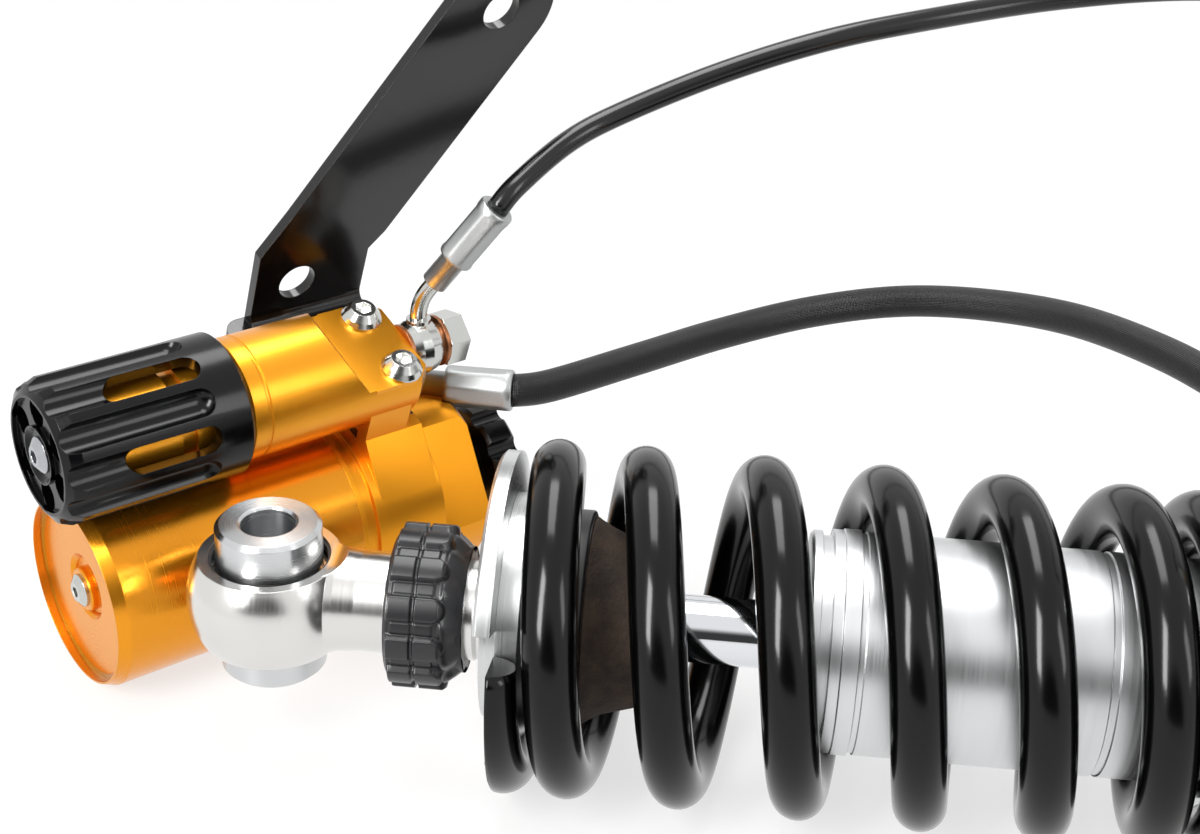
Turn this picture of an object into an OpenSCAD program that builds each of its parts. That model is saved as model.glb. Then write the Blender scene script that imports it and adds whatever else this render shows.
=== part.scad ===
// Motorcycle rear shock absorber: coil-over damper with a hose-fed gas reservoir,
// a hydraulic spring preload adjuster clamped on the reservoir's head, and its mounting bracket.
// The shock's axis is +X from the lower eye's centre, and the lower eye's bore is +Z.

/* [Damper] */
// From the preload collar's end to the upper eye's centre
upper_eye_reach = 69; // [66:1:80]
// Diameter of the damper shaft
shaft_d = 16; // [14:0.5:18]
// Inner diameter of the damper tube
tube_bore = 46; // [44:0.5:47]
// Wall of the damper tube
tube_wall = 3; // [2.5:0.25:3.5]
// Where the damper tube's open end lies at full length
tube_start = 126.6; // [124:0.1:130]
// Travel of the shaft into the tube
stroke = 45; // [30:1:48]

/* [Spring] */
// Room between the damper tube and the coil spring
spring_room = 3.4; // [2.6:0.1:4.4]
// Diameter of the spring wire
wire_d = 12.6; // [11:0.2:13]
// Where the spring stands on the lower seat
spring_start = 57.5; // [57:0.5:60]
// Length of the spring between its seats
spring_length = 164.3; // [160:0.1:166]
// Number of turns in the spring
spring_turns = 7.2; // [6.5:0.1:7.5]

/* [Eyes] */
// Outer diameter of the lower eye
eye_d = 40; // [38:0.5:43]
// Width of each eye along its bore
eye_w = 21.5; // [20:0.5:24]
// Bore of the spacers for the mounting bolt
bolt_bore = 13; // [10:0.5:14]
// Length over the spacers
spacer_length = 39.2; // [36:0.2:46]
// Outer diameter of the spacers' heads
spacer_d = 25.2; // [22:0.2:26]

/* [Rebound adjuster] */
// Outer diameter of the rebound knob over its lugs
rebound_d = 39.2; // [37:0.2:42]
// Width of the rebound knob
rebound_w = 18; // [16:0.5:19]
// Number of grip lugs around the rebound knob
rebound_lugs = 12; // [6:1:14]

/* [Reservoir] */
// Outer diameter of the reservoir
reservoir_d = 51.5; // [48:0.5:54]
// Inner diameter of the reservoir
reservoir_bore = 46; // [42:0.5:47]
// Length of the reservoir's tube
reservoir_length = 70; // [65:1:90]
// Length of the reservoir's head
head_length = 41; // [38:1:50]
// Angle of the reservoir to the shock's axis
reservoir_yaw = 44; // [40:1:50]

/* [Preload adjuster] */
// Outer diameter of the preload knob
preload_knob_d = 37; // [34:0.5:37.2]
// Length of the preload knob
preload_knob_length = 48.7; // [44:0.1:50]
// Number of flutes around the preload knob, every second one with a window
preload_flutes = 12; // [8:2:12]
// Outer diameter of the preload cylinder
preload_body_d = 32; // [30:0.5:33]
// Bore of the preload cylinder
preload_bore = 20; // [16:0.5:22]

/* [Bracket] */
// Thickness of the bracket's sheet
bracket_t = 3; // [2:0.25:3.5]
// Width of the bracket's arm
bracket_w = 33.5; // [30:0.5:36]
// Diameter of the bracket's two holes
bracket_hole_d = 11; // [8:0.5:13]
// Distance between the bracket's two holes
bracket_hole_pitch = 93; // [80:1:110]

/* [Hoses] */
// Outer diameter of the reservoir's hose
reservoir_hose_d = 9.2; // [8:0.2:10]
// Outer diameter of the preload hose
preload_hose_d = 6; // [5:0.2:7]

/* [Hidden] */
$fn = 72;

// Colours
gold = "#e8a314";
silver = "#c9cbcd";
steel = "#b4b7ba";
chrome = "#dfe2e4";
black = "#1b1b1d";
rubber = "#2b2b2c";
foam = "#4a3a30";
copper = "#b5673d";
bronze = "#a6793f";

// Fits and small sizes
running = 0.05;
air = 0.4;
eps = 0.01;

// Places along the shock
shaft_r = shaft_d / 2;
bore_r = tube_bore / 2;
tube_r = bore_r + tube_wall;
spring_r = tube_r + spring_room + wire_d;
shank_r = 12;
rebound_start = 30;
neck_r = 11.5;
seat_t = 4;
seat_start = spring_start - seat_t;
spring_end = spring_start + spring_length;
upper_seat_t = 5;
collar_start = spring_end + upper_seat_t + 2.2;
collar_length = 20;
collar_end = collar_start + collar_length;
head_start = collar_end;
shaft_start = 20;
piston_t = 12;
piston_start = tube_start + 46;
nut_t = 7;

// The floor that the spring and the reservoir lie on
floor_z = -spring_r;
reservoir_r = reservoir_d / 2;
reservoir_at = [-55.5, 16.4, floor_z + reservoir_r];
clamp_roll = 20;
head_end = reservoir_length + head_length;

// The preload adjuster's axis in the reservoir's frame
adjuster_y = 10;
adjuster_z = 43.5;
preload_start = -7.6;
preload_body_r = preload_body_d / 2;
lug_end = 94.5;
lug_start = 77;
lug_half = 15.5;
facet_z = 5.2;
seam_z = -13;
screw_u = lug_end - 6.9;
screw_half = 10.3;

// The banjo on the preload adjuster, in the part's frame
banjo_w = 10;
washer_t = 1;
banjo_r = 6.6;
banjo_u = lug_end + washer_t + banjo_w / 2;

// Turns a shape made along +Z so that it lies along +X from x
module along_x(x = 0) {
    translate([x, 0, 0]) rotate([0, 90, 0]) children();
}

// A round piece about the shock's axis, drawn as [radius, x] points
module turned(points) {
    rotate([0, 90, 0]) rotate_extrude() polygon(points);
}

// A plain ring about the X axis
module ring_x(x, length, outer_r, inner_r) {
    along_x(x) difference() {
        cylinder(h = length, r = outer_r);
        translate([0, 0, -1]) cylinder(h = length + 2, r = inner_r);
    }
}

// The reservoir's frame: +X along its axis, rolled so that the clamp's seam is level
module at_reservoir() {
    translate(reservoir_at) rotate([0, 0, reservoir_yaw]) rotate([clamp_roll, 0, 0]) children();
}

// The preload adjuster's frame, parallel to the reservoir's
module at_adjuster() {
    at_reservoir() translate([0, adjuster_y, adjuster_z]) children();
}

/* Tubes swept along points */

function unit(v) = v / norm(v);
function side_of(t) = unit(cross(t, abs(t[2]) < 0.9 ? [0, 0, 1] : [0, 1, 0]));
function tangent(p, i) = unit(p[min(i + 1, len(p) - 1)] - p[max(i - 1, 0)]);

// A smooth curve through hand-chosen points, with a few steps in each stretch
function knot(p, i) = p[max(0, min(len(p) - 1, i))];
function between(a, b, c, d, t) =
    0.5 * (2 * b + (c - a) * t + (2 * a - 5 * b + 4 * c - d) * t * t
        + (3 * b - a - 3 * c + d) * t * t * t);
function smooth_route(p, steps) = [
    for (i = [0 : len(p) - 2]) for (s = [0 : steps - 1])
        between(knot(p, i - 1), p[i], p[i + 1], knot(p, i + 2), s / steps),
    p[len(p) - 1]
];

// Triangles that join rings of points into one closed tube, its ends fanned from the given points
function tube_faces(rings, sides, first_hub = 0, last_hub = 0) = concat(
    [for (j = [1 : sides - 2]) [first_hub, (first_hub + j + 1) % sides, (first_hub + j) % sides]],
    [for (i = [0 : rings - 2]) for (j = [0 : sides - 1]) let (k = (j + 1) % sides)
        [i * sides + j, i * sides + k, (i + 1) * sides + j]],
    [for (i = [0 : rings - 2]) for (j = [0 : sides - 1]) let (k = (j + 1) % sides)
        [i * sides + k, (i + 1) * sides + k, (i + 1) * sides + j]],
    [for (j = [1 : sides - 2]) let (b = (rings - 1) * sides)
        [b + last_hub, b + (last_hub + j) % sides, b + (last_hub + j + 1) % sides]]
);

// A tube along a route, with its end faces square to the given directions
module swept(route, r, sides, start_dir, end_dir) {
    last = len(route) - 1;
    dirs = [for (i = [0 : last]) i == 0 ? unit(start_dir) : i == last ? unit(end_dir) : tangent(route, i)];
    points = [for (i = [0 : last]) let (a = side_of(dirs[i]), b = cross(dirs[i], a))
        for (j = [0 : sides - 1]) route[i] + r * (cos(360 * j / sides) * a + sin(360 * j / sides) * b)];
    polyhedron(points, tube_faces(last + 1, sides), convexity = 8);
}

/* Eyes with their spherical bearings */

ball_r = 12;
race_r = 14.4;
race_half = 6.3;
ball_half = 7.4;
spacer_neck_r = 8.2;
ball_edge_r = 9.2;
spacer_head_z = 9;
circlip_z = 6.5;
circlip_t = 1;
seal_t = 1.8;
seal_sunk = 0.7;
tilt_room = 1.1;
upper_eye_d = 36;

// A ring profile about Z, as [radius, z] points
module turned_z(points) {
    rotate_extrude() polygon(points);
}

// The eye's barrel-shaped body, from its widest radius to its rim's
lower_rim_r = 16.9;
upper_rim_r = 16.2;
module eye_ring(d, rim_r) {
    half = eye_w / 2;
    inset = (half * half / (d / 2 - rim_r) - (d / 2 + rim_r)) / 2;
    rotate_extrude() intersection() {
        translate([-inset, 0]) circle(r = d / 2 + inset);
        translate([0, -half]) square([d, eye_w]);
    }
}

module bearing_race(x) {
    translate([x, 0, 0]) difference() {
        cylinder(h = 2 * race_half, r = race_r, center = true);
        sphere(r = ball_r + 0.03);
    }
}

module bearing_ball(x) {
    translate([x, 0, 0]) difference() {
        intersection() {
            sphere(r = ball_r);
            cube([4 * ball_r, 4 * ball_r, 2 * ball_half], center = true);
        }
        cylinder(h = 4 * ball_r, r = spacer_neck_r + 0.03, center = true);
    }
}

// A spacer with its neck in the ball and its head outside the eye
module spacer(x, way) {
    top = spacer_length / 2;
    chamfer = 0.6;
    translate([x, 0, 0]) mirror([0, 0, way < 0 ? 1 : 0]) turned_z([
        [bolt_bore / 2, 0], [spacer_neck_r, 0], [spacer_neck_r, ball_half + 0.1],
        [ball_edge_r, ball_half + 0.1], [ball_edge_r, spacer_head_z],
        [spacer_d / 2 - 0.5, spacer_head_z], [spacer_d / 2, spacer_head_z + 0.5],
        [spacer_d / 2, top - 1.1], [spacer_d / 2 - 1.1, top], [bolt_bore / 2 + chamfer, top],
        [bolt_bore / 2, top - chamfer]
    ]);
}

module circlip_pair(x) {
    for (z = [circlip_z, -circlip_z - circlip_t]) translate([x, 0, z]) difference() {
        cylinder(h = circlip_t, r = race_r);
        translate([0, 0, -1]) cylinder(h = circlip_t + 2, r = race_r - 1.8);
        rotate([0, 0, 180]) translate([0, -2.5, -1]) cube([race_r + 2, 5, circlip_t + 2]);
    }
}

// Rubber rings that close the eye's bore round the spacers
module eye_seals(x) {
    for (z = [eye_w / 2 - seal_t - seal_sunk, seal_sunk - eye_w / 2]) translate([x, 0, z]) difference() {
        cylinder(h = seal_t, r = race_r);
        translate([0, 0, -1]) cylinder(h = seal_t + 2, r = spacer_d / 2 + tilt_room);
    }
}

/* Lower end of the shock: everything that moves with the shaft */

pin_slot_x = 39;
pin_travel = 2;
pin_r = 1.5;
core_r = 15;
rod_r = 2.4;
flat_end = 14;
scoop_r = 8;

module lower_eye() color(silver) difference() {
    union() {
        eye_ring(eye_d, lower_rim_r);
        turned([
            [0, 0], [shank_r + 1.6, 0], [shank_r + 1.6, 13], [shank_r + 0.5, 17], [shank_r, 22],
            [shank_r, rebound_start + rebound_w + 2], [neck_r, rebound_start + rebound_w + 3],
            [neck_r, seat_start], [0, seat_start]
        ]);
    }
    // Flats level with the eye's faces, which run out into the neck
    for (way = [0, 1]) mirror([0, 0, way]) {
        translate([-eye_d, -eye_d, eye_w / 2]) cube([eye_d + flat_end, 2 * eye_d, 20]);
        translate([flat_end, 0, eye_w / 2 + scoop_r]) rotate([90, 0, 0])
            cylinder(h = 2 * eye_d, r = scoop_r, center = true);
    }
    cylinder(h = 2 * eye_w, r = race_r, center = true);
    // Shaft thread and rod bore
    along_x(shaft_start) cylinder(h = 60, r = shaft_r);
    // Slot for the rebound adjuster's cross pin
    translate([pin_slot_x - pin_travel - pin_r - air, -pin_r - 0.2, -shank_r - 2])
        cube([2 * (pin_travel + pin_r + air), 2 * pin_r + 0.4, 2 * shank_r + 4]);
}
module lower_bearing_race() color(steel) bearing_race(0);
module lower_bearing_ball() color(chrome) bearing_ball(0);
module lower_spacer_top() color(silver) spacer(0, 1);
module lower_spacer_bottom() color(silver) spacer(0, -1);
module lower_eye_seals() color(black) eye_seals(0);
module lower_circlips() color(steel) circlip_pair(0);

// Rubber grip with two rows of lugs over its core
module rebound_knob() color(rubber) {
    r = rebound_d / 2;
    base_r = r - 2.2;
    x0 = rebound_start;
    x1 = rebound_start + rebound_w;
    row = (rebound_w - 5) / 2;
    difference() {
        union() {
            turned([
                [core_r, x0], [base_r - 1, x0], [base_r, x0 + 1], [base_r, x1 - 3.5],
                [core_r + 1.2, x1], [core_r, x1]
            ]);
            intersection() {
                union() for (i = [0 : rebound_lugs - 1]) rotate([360 * i / rebound_lugs, 0, 0]) {
                    translate([x0 + 0.4, -3.2, core_r]) cube([row, 6.4, r - core_r + 2]);
                    translate([x0 + 0.4 + row + 0.9, -3.2, core_r]) cube([row, 6.4, r - core_r + 2]);
                    rotate([180 / rebound_lugs, 0, 0])
                        translate([x0 + 1.4, -1.6, core_r]) cube([2 * row - 1.4, 3.2, base_r + 1 - core_r]);
                }
                turned([
                    [core_r, x0], [r - 1.4, x0], [r, x0 + 1.4], [r, x1 - 4.6], [r - 1.6, x1 - 3.2],
                    [core_r, x1 - 3.2]
                ]);
            }
        }
    }
}

module rebound_knob_core() color(black) difference() {
    ring_x(rebound_start, rebound_w, core_r, shank_r + running);
    // Room for the ends of the cross pin
    ring_x(pin_slot_x - pin_travel - pin_r - air, 2 * (pin_travel + pin_r + air), core_r - 1.2, shank_r - 1);
}

module rebound_cross_pin() color(steel) difference() {
    translate([pin_slot_x, 0, 0]) cylinder(h = 2 * (core_r - 1.6), r = pin_r, center = true);
    along_x(0) cylinder(h = 60, r = rod_r - 1.2);
}

// Rod inside the shaft that the rebound knob moves, with a needle tip
module rebound_rod() color(steel) difference() {
    turned([
        [0, shaft_start + 4], [rod_r, shaft_start + 4], [rod_r, piston_start + piston_t],
        [0.6, piston_start + piston_t + 5], [0, piston_start + piston_t + 5]
    ]);
    translate([pin_slot_x, 0, 0]) cylinder(h = 30, r = pin_r, center = true);
}

// C-shaped seat that is slid over the shaft under the spring
seat_r = spring_r - 3.5;
seat_pilot_r = spring_r - wire_d - 0.7;
seat_open_from = 155;
seat_open_to = 250;
module lower_spring_seat() color(silver) difference() {
    turned([
        [shaft_r + 0.3, seat_start], [seat_r - 0.8, seat_start], [seat_r, seat_start + 0.8],
        [seat_r, spring_start], [seat_pilot_r, spring_start], [seat_pilot_r, spring_start + 5],
        [seat_pilot_r - 2, spring_start + 7], [shaft_r + 0.3, spring_start + 7]
    ]);
    // Open side of the flange
    along_x(seat_start - 1) rotate([0, 0, 90 + seat_open_from])
        rotate_extrude(angle = seat_open_to - seat_open_from)
            translate([seat_pilot_r - 4, 0]) square([seat_r, seat_t + 1 + eps]);
}

bump_r = seat_pilot_r - 3.7;
bump_start = spring_start + 7;
bump_end = tube_start - 31;
module bump_stop_cup() color(black) turned([
    [shaft_r + 0.3, bump_start], [bump_r + 0.8, bump_start], [bump_r + 0.8, bump_start + 15],
    [bump_r - 1, bump_start + 15.6], [bump_r - 1, bump_start + 2.5], [shaft_r + 0.3, bump_start + 2.5]
]);

// Foam bump stop: a blunt, slightly crowned cone
module bump_stop() color(foam) turned([
    [shaft_r + 0.3, bump_start + 2.6], [bump_r - 1.2, bump_start + 2.6], [bump_r - 1.2, bump_start + 16.2],
    [bump_r - 0.6, bump_start + 17.5], [bump_r - 1.6, bump_start + 20], [bump_r - 5, bump_start + 25.5],
    [bump_r - 7, bump_end - 2], [bump_r - 8.8, bump_end], [shaft_r + 0.3, bump_end]
]);

module damper_shaft() color(chrome) difference() {
    union() {
        along_x(shaft_start) cylinder(h = piston_start - 1 - shaft_start, r = shaft_r);
        along_x(shaft_start + 1) cylinder(h = piston_start + piston_t + 1 + nut_t + 1 - shaft_start, r = 5);
    }
    along_x(0) cylinder(h = head_start, r = rod_r + running);
    // Slot for the rebound adjuster's cross pin
    translate([pin_slot_x - pin_travel - pin_r - air, -pin_r - 0.2, -shank_r])
        cube([2 * (pin_travel + pin_r + air), 2 * pin_r + 0.4, 2 * shank_r]);
}

module piston() color(silver) difference() {
    ring_x(piston_start, piston_t, bore_r - running, 5);
    ring_x(piston_start + 3, piston_t - 6, bore_r + 1, bore_r - 1.2);
    // Flow ports
    for (i = [0 : 5]) rotate([60 * i, 0, 0])
        translate([piston_start - 1, 0, 13]) rotate([0, 90, 0]) cylinder(h = piston_t + 2, r = 2.4);
}
module piston_band() color(bronze)
    ring_x(piston_start + 3, piston_t - 6, bore_r - running, bore_r - 1.2);
module rebound_shims() color(steel) for (i = [0 : 1])
    ring_x(piston_start + piston_t + 0.5 * i, 0.5, 17 - 3 * i, 5);
module compression_shims() color(steel) for (i = [0 : 1])
    ring_x(piston_start - 0.5 - 0.5 * i, 0.5, 17 - 3 * i, 5);
module piston_nut() color(steel) difference() {
    along_x(piston_start + piston_t + 1) cylinder(h = nut_t, r = 9, $fn = 6);
    along_x(0) cylinder(h = head_start, r = 5);
}

/* Damper tube and what closes it */

seal_end = tube_start + 26;
collar_step = 5.2;
module seal_head() color(silver) difference() {
    turned([
        [0, tube_start], [tube_r - 1.2, tube_start], [tube_r - 0.5, tube_start + 0.7],
        [tube_r - 0.5, tube_start + 2.6], [tube_r - 1.6, tube_start + 2.6],
        [tube_r - 1.6, tube_start + collar_step], [bore_r, tube_start + collar_step],
        [bore_r, seal_end], [0, seal_end]
    ]);
    along_x(0) cylinder(h = 300, r = shaft_r + running);
    along_x(tube_start - 1) cylinder(h = 5, r = shaft_r + 3.5);
    along_x(tube_start + 10) cylinder(h = 6, r = shaft_r + 3.5);
}
module dust_scraper() color(black) ring_x(tube_start + 0.2, 3.8, shaft_r + 3.5, shaft_r + 0.06);
module shaft_seal() color(black) ring_x(tube_start + 10, 6, shaft_r + 3.5, shaft_r + 0.06);

tube_end = head_start + 14;
mid_groove = tube_start + 66.6;
module damper_tube() color(silver) turned([
    [bore_r, tube_start + collar_step], [tube_r, tube_start + collar_step],
    [tube_r, tube_start + 7.6], [tube_r + 0.3, tube_start + 7.8], [tube_r + 0.3, tube_start + 11.5],
    [tube_r - 0.5, tube_start + 11.6], [tube_r - 0.5, tube_start + 12.9], [tube_r, tube_start + 13],
    [tube_r, mid_groove], [tube_r - 0.5, mid_groove + 0.2], [tube_r - 0.5, mid_groove + 1.8],
    [tube_r, mid_groove + 2], [tube_r, head_start], [tube_r - 1.2, head_start],
    [tube_r - 1.2, tube_end], [bore_r, tube_end]
]);

/* Coil spring with closed, ground ends */

// Turn number along the wire, from the lower tip, to the wire's place along the axis
wire_gap = 0.5;
closed_turns = 0.7;
ramp_turns = 1;
wire_first = spring_start - 0.4;
wire_last = spring_end + 0.4;
closed_pitch = wire_d + wire_gap;
open_turns = spring_turns - 2 * closed_turns - 2 * ramp_turns;
open_pitch = (wire_last - wire_first - closed_pitch * (2 * closed_turns + ramp_turns))
    / (open_turns + ramp_turns);
function end_advance(n) = n < closed_turns ? closed_pitch * n
    : closed_pitch * n + (open_pitch - closed_pitch) * pow(n - closed_turns, 2) / (2 * ramp_turns);
function wire_x(n) = n < closed_turns + ramp_turns ? wire_first + end_advance(n)
    : n > spring_turns - closed_turns - ramp_turns ? wire_last - end_advance(spring_turns - n)
    : wire_first + end_advance(closed_turns + ramp_turns) + open_pitch * (n - closed_turns - ramp_turns);
tip_angle = 166;
coil_r = spring_r - wire_d / 2;
touch = 0.03;
function wire_angle(n) = tip_angle + 360 * n;
function wire_ring(n, sides) = [
    for (j = [0 : sides - 1]) let (a = wire_angle(n), b = 360 * j / sides,
        r = coil_r + wire_d / 2 * cos(b), x = wire_x(n) - wire_d / 2 * sin(b))
        [max(spring_start + touch, min(spring_end - touch, x)), r * cos(a), r * sin(a)]
];
coil_rings = 24;
coil_sides = 8;
spring_rings = round(spring_turns * coil_rings);
spring_points = [for (i = [0 : spring_rings]) wire_ring(spring_turns * i / spring_rings, coil_sides)];
module spring() color(black) polyhedron(
    [for (ring = spring_points) each ring],
    tube_faces(spring_rings + 1, coil_sides, coil_sides * 3 / 4, coil_sides / 4), convexity = 20
);

// Least gap between neighbouring turns, measured from point to point
gap_points = [for (i = [0 : spring_rings - coil_rings])
    min([for (p = spring_points[i]) for (q = spring_points[i + coil_rings]) norm(p - q)])];
echo(least_gap_between_turns = min(gap_points), open_pitch = open_pitch);

/* Hydraulic spring preload collar at the upper end */

upper_pilot_r = spring_r - wire_d - 0.7;
ring_piston_r = spring_r - 6;
ring_piston_inner = tube_r + 4;
module upper_spring_seat() color(silver) turned([
    [tube_r + running + 0.01, spring_end - 6], [upper_pilot_r - 1.5, spring_end - 6],
    [upper_pilot_r, spring_end - 4.5], [upper_pilot_r, spring_end], [spring_r - 1.5, spring_end],
    [spring_r - 1.5, spring_end + upper_seat_t], [ring_piston_r - running, spring_end + upper_seat_t],
    [ring_piston_r - running, collar_start + 7], [ring_piston_inner + running, collar_start + 7],
    [ring_piston_inner + running, spring_end + upper_seat_t],
    [tube_r + running + 0.01, spring_end + upper_seat_t]
]);

module preload_collar() color(gold) difference() {
    turned([
        [tube_r, collar_start], [ring_piston_inner, collar_start], [ring_piston_inner, collar_end - 7],
        [ring_piston_r, collar_end - 7], [ring_piston_r, collar_start], [spring_r - 1, collar_start],
        [spring_r, collar_start + 1], [spring_r, collar_end - 1], [spring_r - 1, collar_end],
        [tube_r, collar_end]
    ]);
    // Oil port on top
    translate([collar_port_x, 0, ring_piston_r - 2]) cylinder(h = spring_r, r = 3);
}
collar_port_x = collar_start + 10;
module collar_seals() color(black)
    ring_x(collar_start + 7, 1.6, ring_piston_r - running, ring_piston_inner + running);

/* Damper head with the upper eye */

upper_eye_x = head_start + upper_eye_reach;
head_r = tube_r + 2;
head_boss_x = head_start + 15;
head_boss_top = head_r + 10;
module damper_head() color(silver) difference() {
    union() {
        turned([
            [0, tube_end], [tube_r - 1.2, tube_end], [tube_r - 1.2, head_start], [head_r + 1, head_start],
            [head_r + 2, head_start + 1], [head_r + 2, head_start + 26], [head_r - 2, head_start + 30],
            [17, head_start + 34], [14, upper_eye_x - 18], [14, upper_eye_x - 6], [0, upper_eye_x - 6]
        ]);
        translate([upper_eye_x, 0, 0]) eye_ring(upper_eye_d, upper_rim_r);
        translate([head_boss_x, 0, 0]) cylinder(h = head_boss_top, r = 9);
    }
    translate([upper_eye_x, 0, 0]) cylinder(h = 2 * eye_w, r = race_r, center = true);
    translate([upper_eye_x - 19, -20, eye_w / 2]) cube([40, 40, 20]);
    translate([upper_eye_x - 19, -20, -eye_w / 2 - 20]) cube([40, 40, 20]);
    // Room behind the piston, and the oil way to the hose
    along_x(tube_end - 1) cylinder(h = head_boss_x + 6 - tube_end, r = 8);
    translate([head_boss_x, 0, 0]) cylinder(h = head_boss_top + 2, r = 5);
    difference() {
        along_x(head_start - 1) cylinder(h = tube_end - head_start + 1, r = tube_r - 1.2);
        along_x(head_start - 2) cylinder(h = eps, r = 1);
    }
}
module upper_bearing_race() color(steel) bearing_race(upper_eye_x);
module upper_bearing_ball() color(chrome) bearing_ball(upper_eye_x);
module upper_spacer_top() color(silver) spacer(upper_eye_x, 1);
module upper_spacer_bottom() color(silver) spacer(upper_eye_x, -1);
module upper_circlips() color(steel) circlip_pair(upper_eye_x);
module upper_eye_seals() color(black) eye_seals(upper_eye_x);

/* Gas reservoir */

cap_end = 15;
rim = 2;
snap_at = 2.6;
piston_band_w = 5;
float_start = 32;
float_length = 16;
res_bore_r = reservoir_bore / 2;
module reservoir_tube() color(gold) at_reservoir() turned([
    [res_bore_r + 0.9, 0], [reservoir_r - 1.4, 0], [reservoir_r, 3], [reservoir_r, reservoir_length],
    [res_bore_r, reservoir_length], [res_bore_r, snap_at + 1.4], [res_bore_r + 0.9, snap_at + 1.4]
]);
module reservoir_snap_ring() color(steel) at_reservoir()
    ring_x(snap_at, 1.4, res_bore_r + 0.9, res_bore_r - 0.5);
cap_face = 2.4;
cap_boss_r = 5.8;
module reservoir_end_cap() color(gold) at_reservoir() difference() {
    turned([
        [0, cap_face - 0.4], [cap_boss_r - 0.4, cap_face - 0.4], [cap_boss_r, cap_face],
        [res_bore_r - 0.5, cap_face],
        [res_bore_r - 0.5, snap_at + 1.4], [res_bore_r, snap_at + 1.4], [res_bore_r, cap_end],
        [res_bore_r - 5, cap_end], [res_bore_r - 5, 8], [0, 8]
    ]);
    along_x(0) cylinder(h = 20, r = 2);
    // Crescent pocket beside the screw's boss
    along_x(cap_face - eps) difference() {
        translate([-2.4, -1.2, 0]) cylinder(h = 1.6, r1 = 8.8, r2 = 7.4);
        translate([0, 0, -1]) cylinder(h = 4, r = cap_boss_r);
    }
}
module fill_screw() color(steel) at_reservoir() difference() {
    turned([[0, 0.2], [2.6, 0.2], [4.3, 1.4], [4.3, 2], [2, 2], [2, 9.5], [0, 9.5]]);
    along_x(-1) cylinder(h = 2.6, r = 1.5, $fn = 6);
}
module floating_piston() color(silver) at_reservoir() turned([
    [0, float_start + 4], [res_bore_r - 6, float_start + 4], [res_bore_r - 4, float_start],
    [res_bore_r - running, float_start], [res_bore_r - running, float_start + 5],
    [res_bore_r - 1.5, float_start + 5], [res_bore_r - 1.5, float_start + 5 + piston_band_w],
    [res_bore_r - running, float_start + 5 + piston_band_w],
    [res_bore_r - running, float_start + float_length], [0, float_start + float_length]
]);
module floating_piston_band() color(black) at_reservoir()
    ring_x(float_start + 5, piston_band_w, res_bore_r - running, res_bore_r - 1.5);

// Compression adjuster on the head's end, and the port of the reservoir's hose
valve_r = 5;
wheel_r = 17;
wheel_from = head_end + 8;
wheel_w = 9;
port_at = [8, 93, 11];
port_length = 6;
port_u = 100;
port_turn = 37;
block_back = 14;
foot_lip = 4;
relief_turn = 42;
relief_depth = 4.5;
relief_w = 30;
// Flat that runs from the block's front edge down on to the head's side
block_edge = [adjuster_y - lug_half, adjuster_z + seam_z];
flat_turn = atan2(block_edge[1], block_edge[0]) + acos(reservoir_r / norm(block_edge));
module reservoir_head() color(gold) difference() {
    union() {
        at_reservoir() turned([
            [0, reservoir_length - 10], [res_bore_r, reservoir_length - 10], [res_bore_r, reservoir_length],
            [reservoir_r, reservoir_length], [reservoir_r, reservoir_length + 1.5],
            [reservoir_r - 1.1, reservoir_length + 1.9], [reservoir_r - 1.1, reservoir_length + 4.6],
            [reservoir_r, reservoir_length + 5], [reservoir_r, head_end - 1.5],
            [reservoir_r - 1.5, head_end], [0, head_end]
        ]);
        // Block that carries the preload adjuster
        at_adjuster() translate([lug_start, -lug_half, seam_z - 30])
            cube([lug_end - lug_start, lug_half + block_back, 30]);
        at_reservoir() translate([lug_start, 0, 0]) rotate([90, 0, 90]) linear_extrude(lug_end - lug_start)
            polygon([
                [0, 0], [0, block_edge[1]], block_edge, reservoir_r * [cos(flat_turn), sin(flat_turn)]
            ]);
        // Boss for the hose
        translate(port_at) rotate([0, 90, 0]) cylinder(h = port_length, r = 8);
    }
    // Seat of the bracket's foot, open to the back
    at_adjuster() translate([lug_start - 1, foot_lip - lug_half, seam_z - bracket_t])
        cube([lug_end - lug_start + 2, 60, bracket_t + 1]);
    // Threads for the clamp screws
    for (s = [-1, 1]) at_adjuster()
        translate([screw_u, s * screw_half, seam_z - 14]) cylinder(h = 30, r = 3);
    // Oil chamber and the compression valve's bore
    at_reservoir() along_x(reservoir_length - 11) cylinder(h = 24, r = 14);
    at_reservoir() along_x(reservoir_length + 10) cylinder(h = head_length, r = valve_r);
    // Hose port, room around its ferrule, and the oil way
    translate([port_at[0] + 4, port_at[1], port_at[2]]) rotate([0, 90, 0])
        cylinder(h = reservoir_hose_from[0] - ferrule_length - port_at[0] - 4, r = 4);
    translate([reservoir_hose_from[0] - ferrule_length, port_at[1], port_at[2]]) rotate([0, 90, 0])
        cylinder(h = ferrule_length, r = reservoir_ferrule_r + ferrule_room);
    at_reservoir() translate([port_u, 0, 0]) rotate([-port_turn, 0, 0]) cylinder(h = 27, r = 1.8);
    // Milled flat beside the block
    at_reservoir() rotate([relief_turn, 0, 0]) translate([lug_end + 1.2, -20, reservoir_r - relief_depth])
        cube([relief_w, 40, 10]);
}

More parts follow.
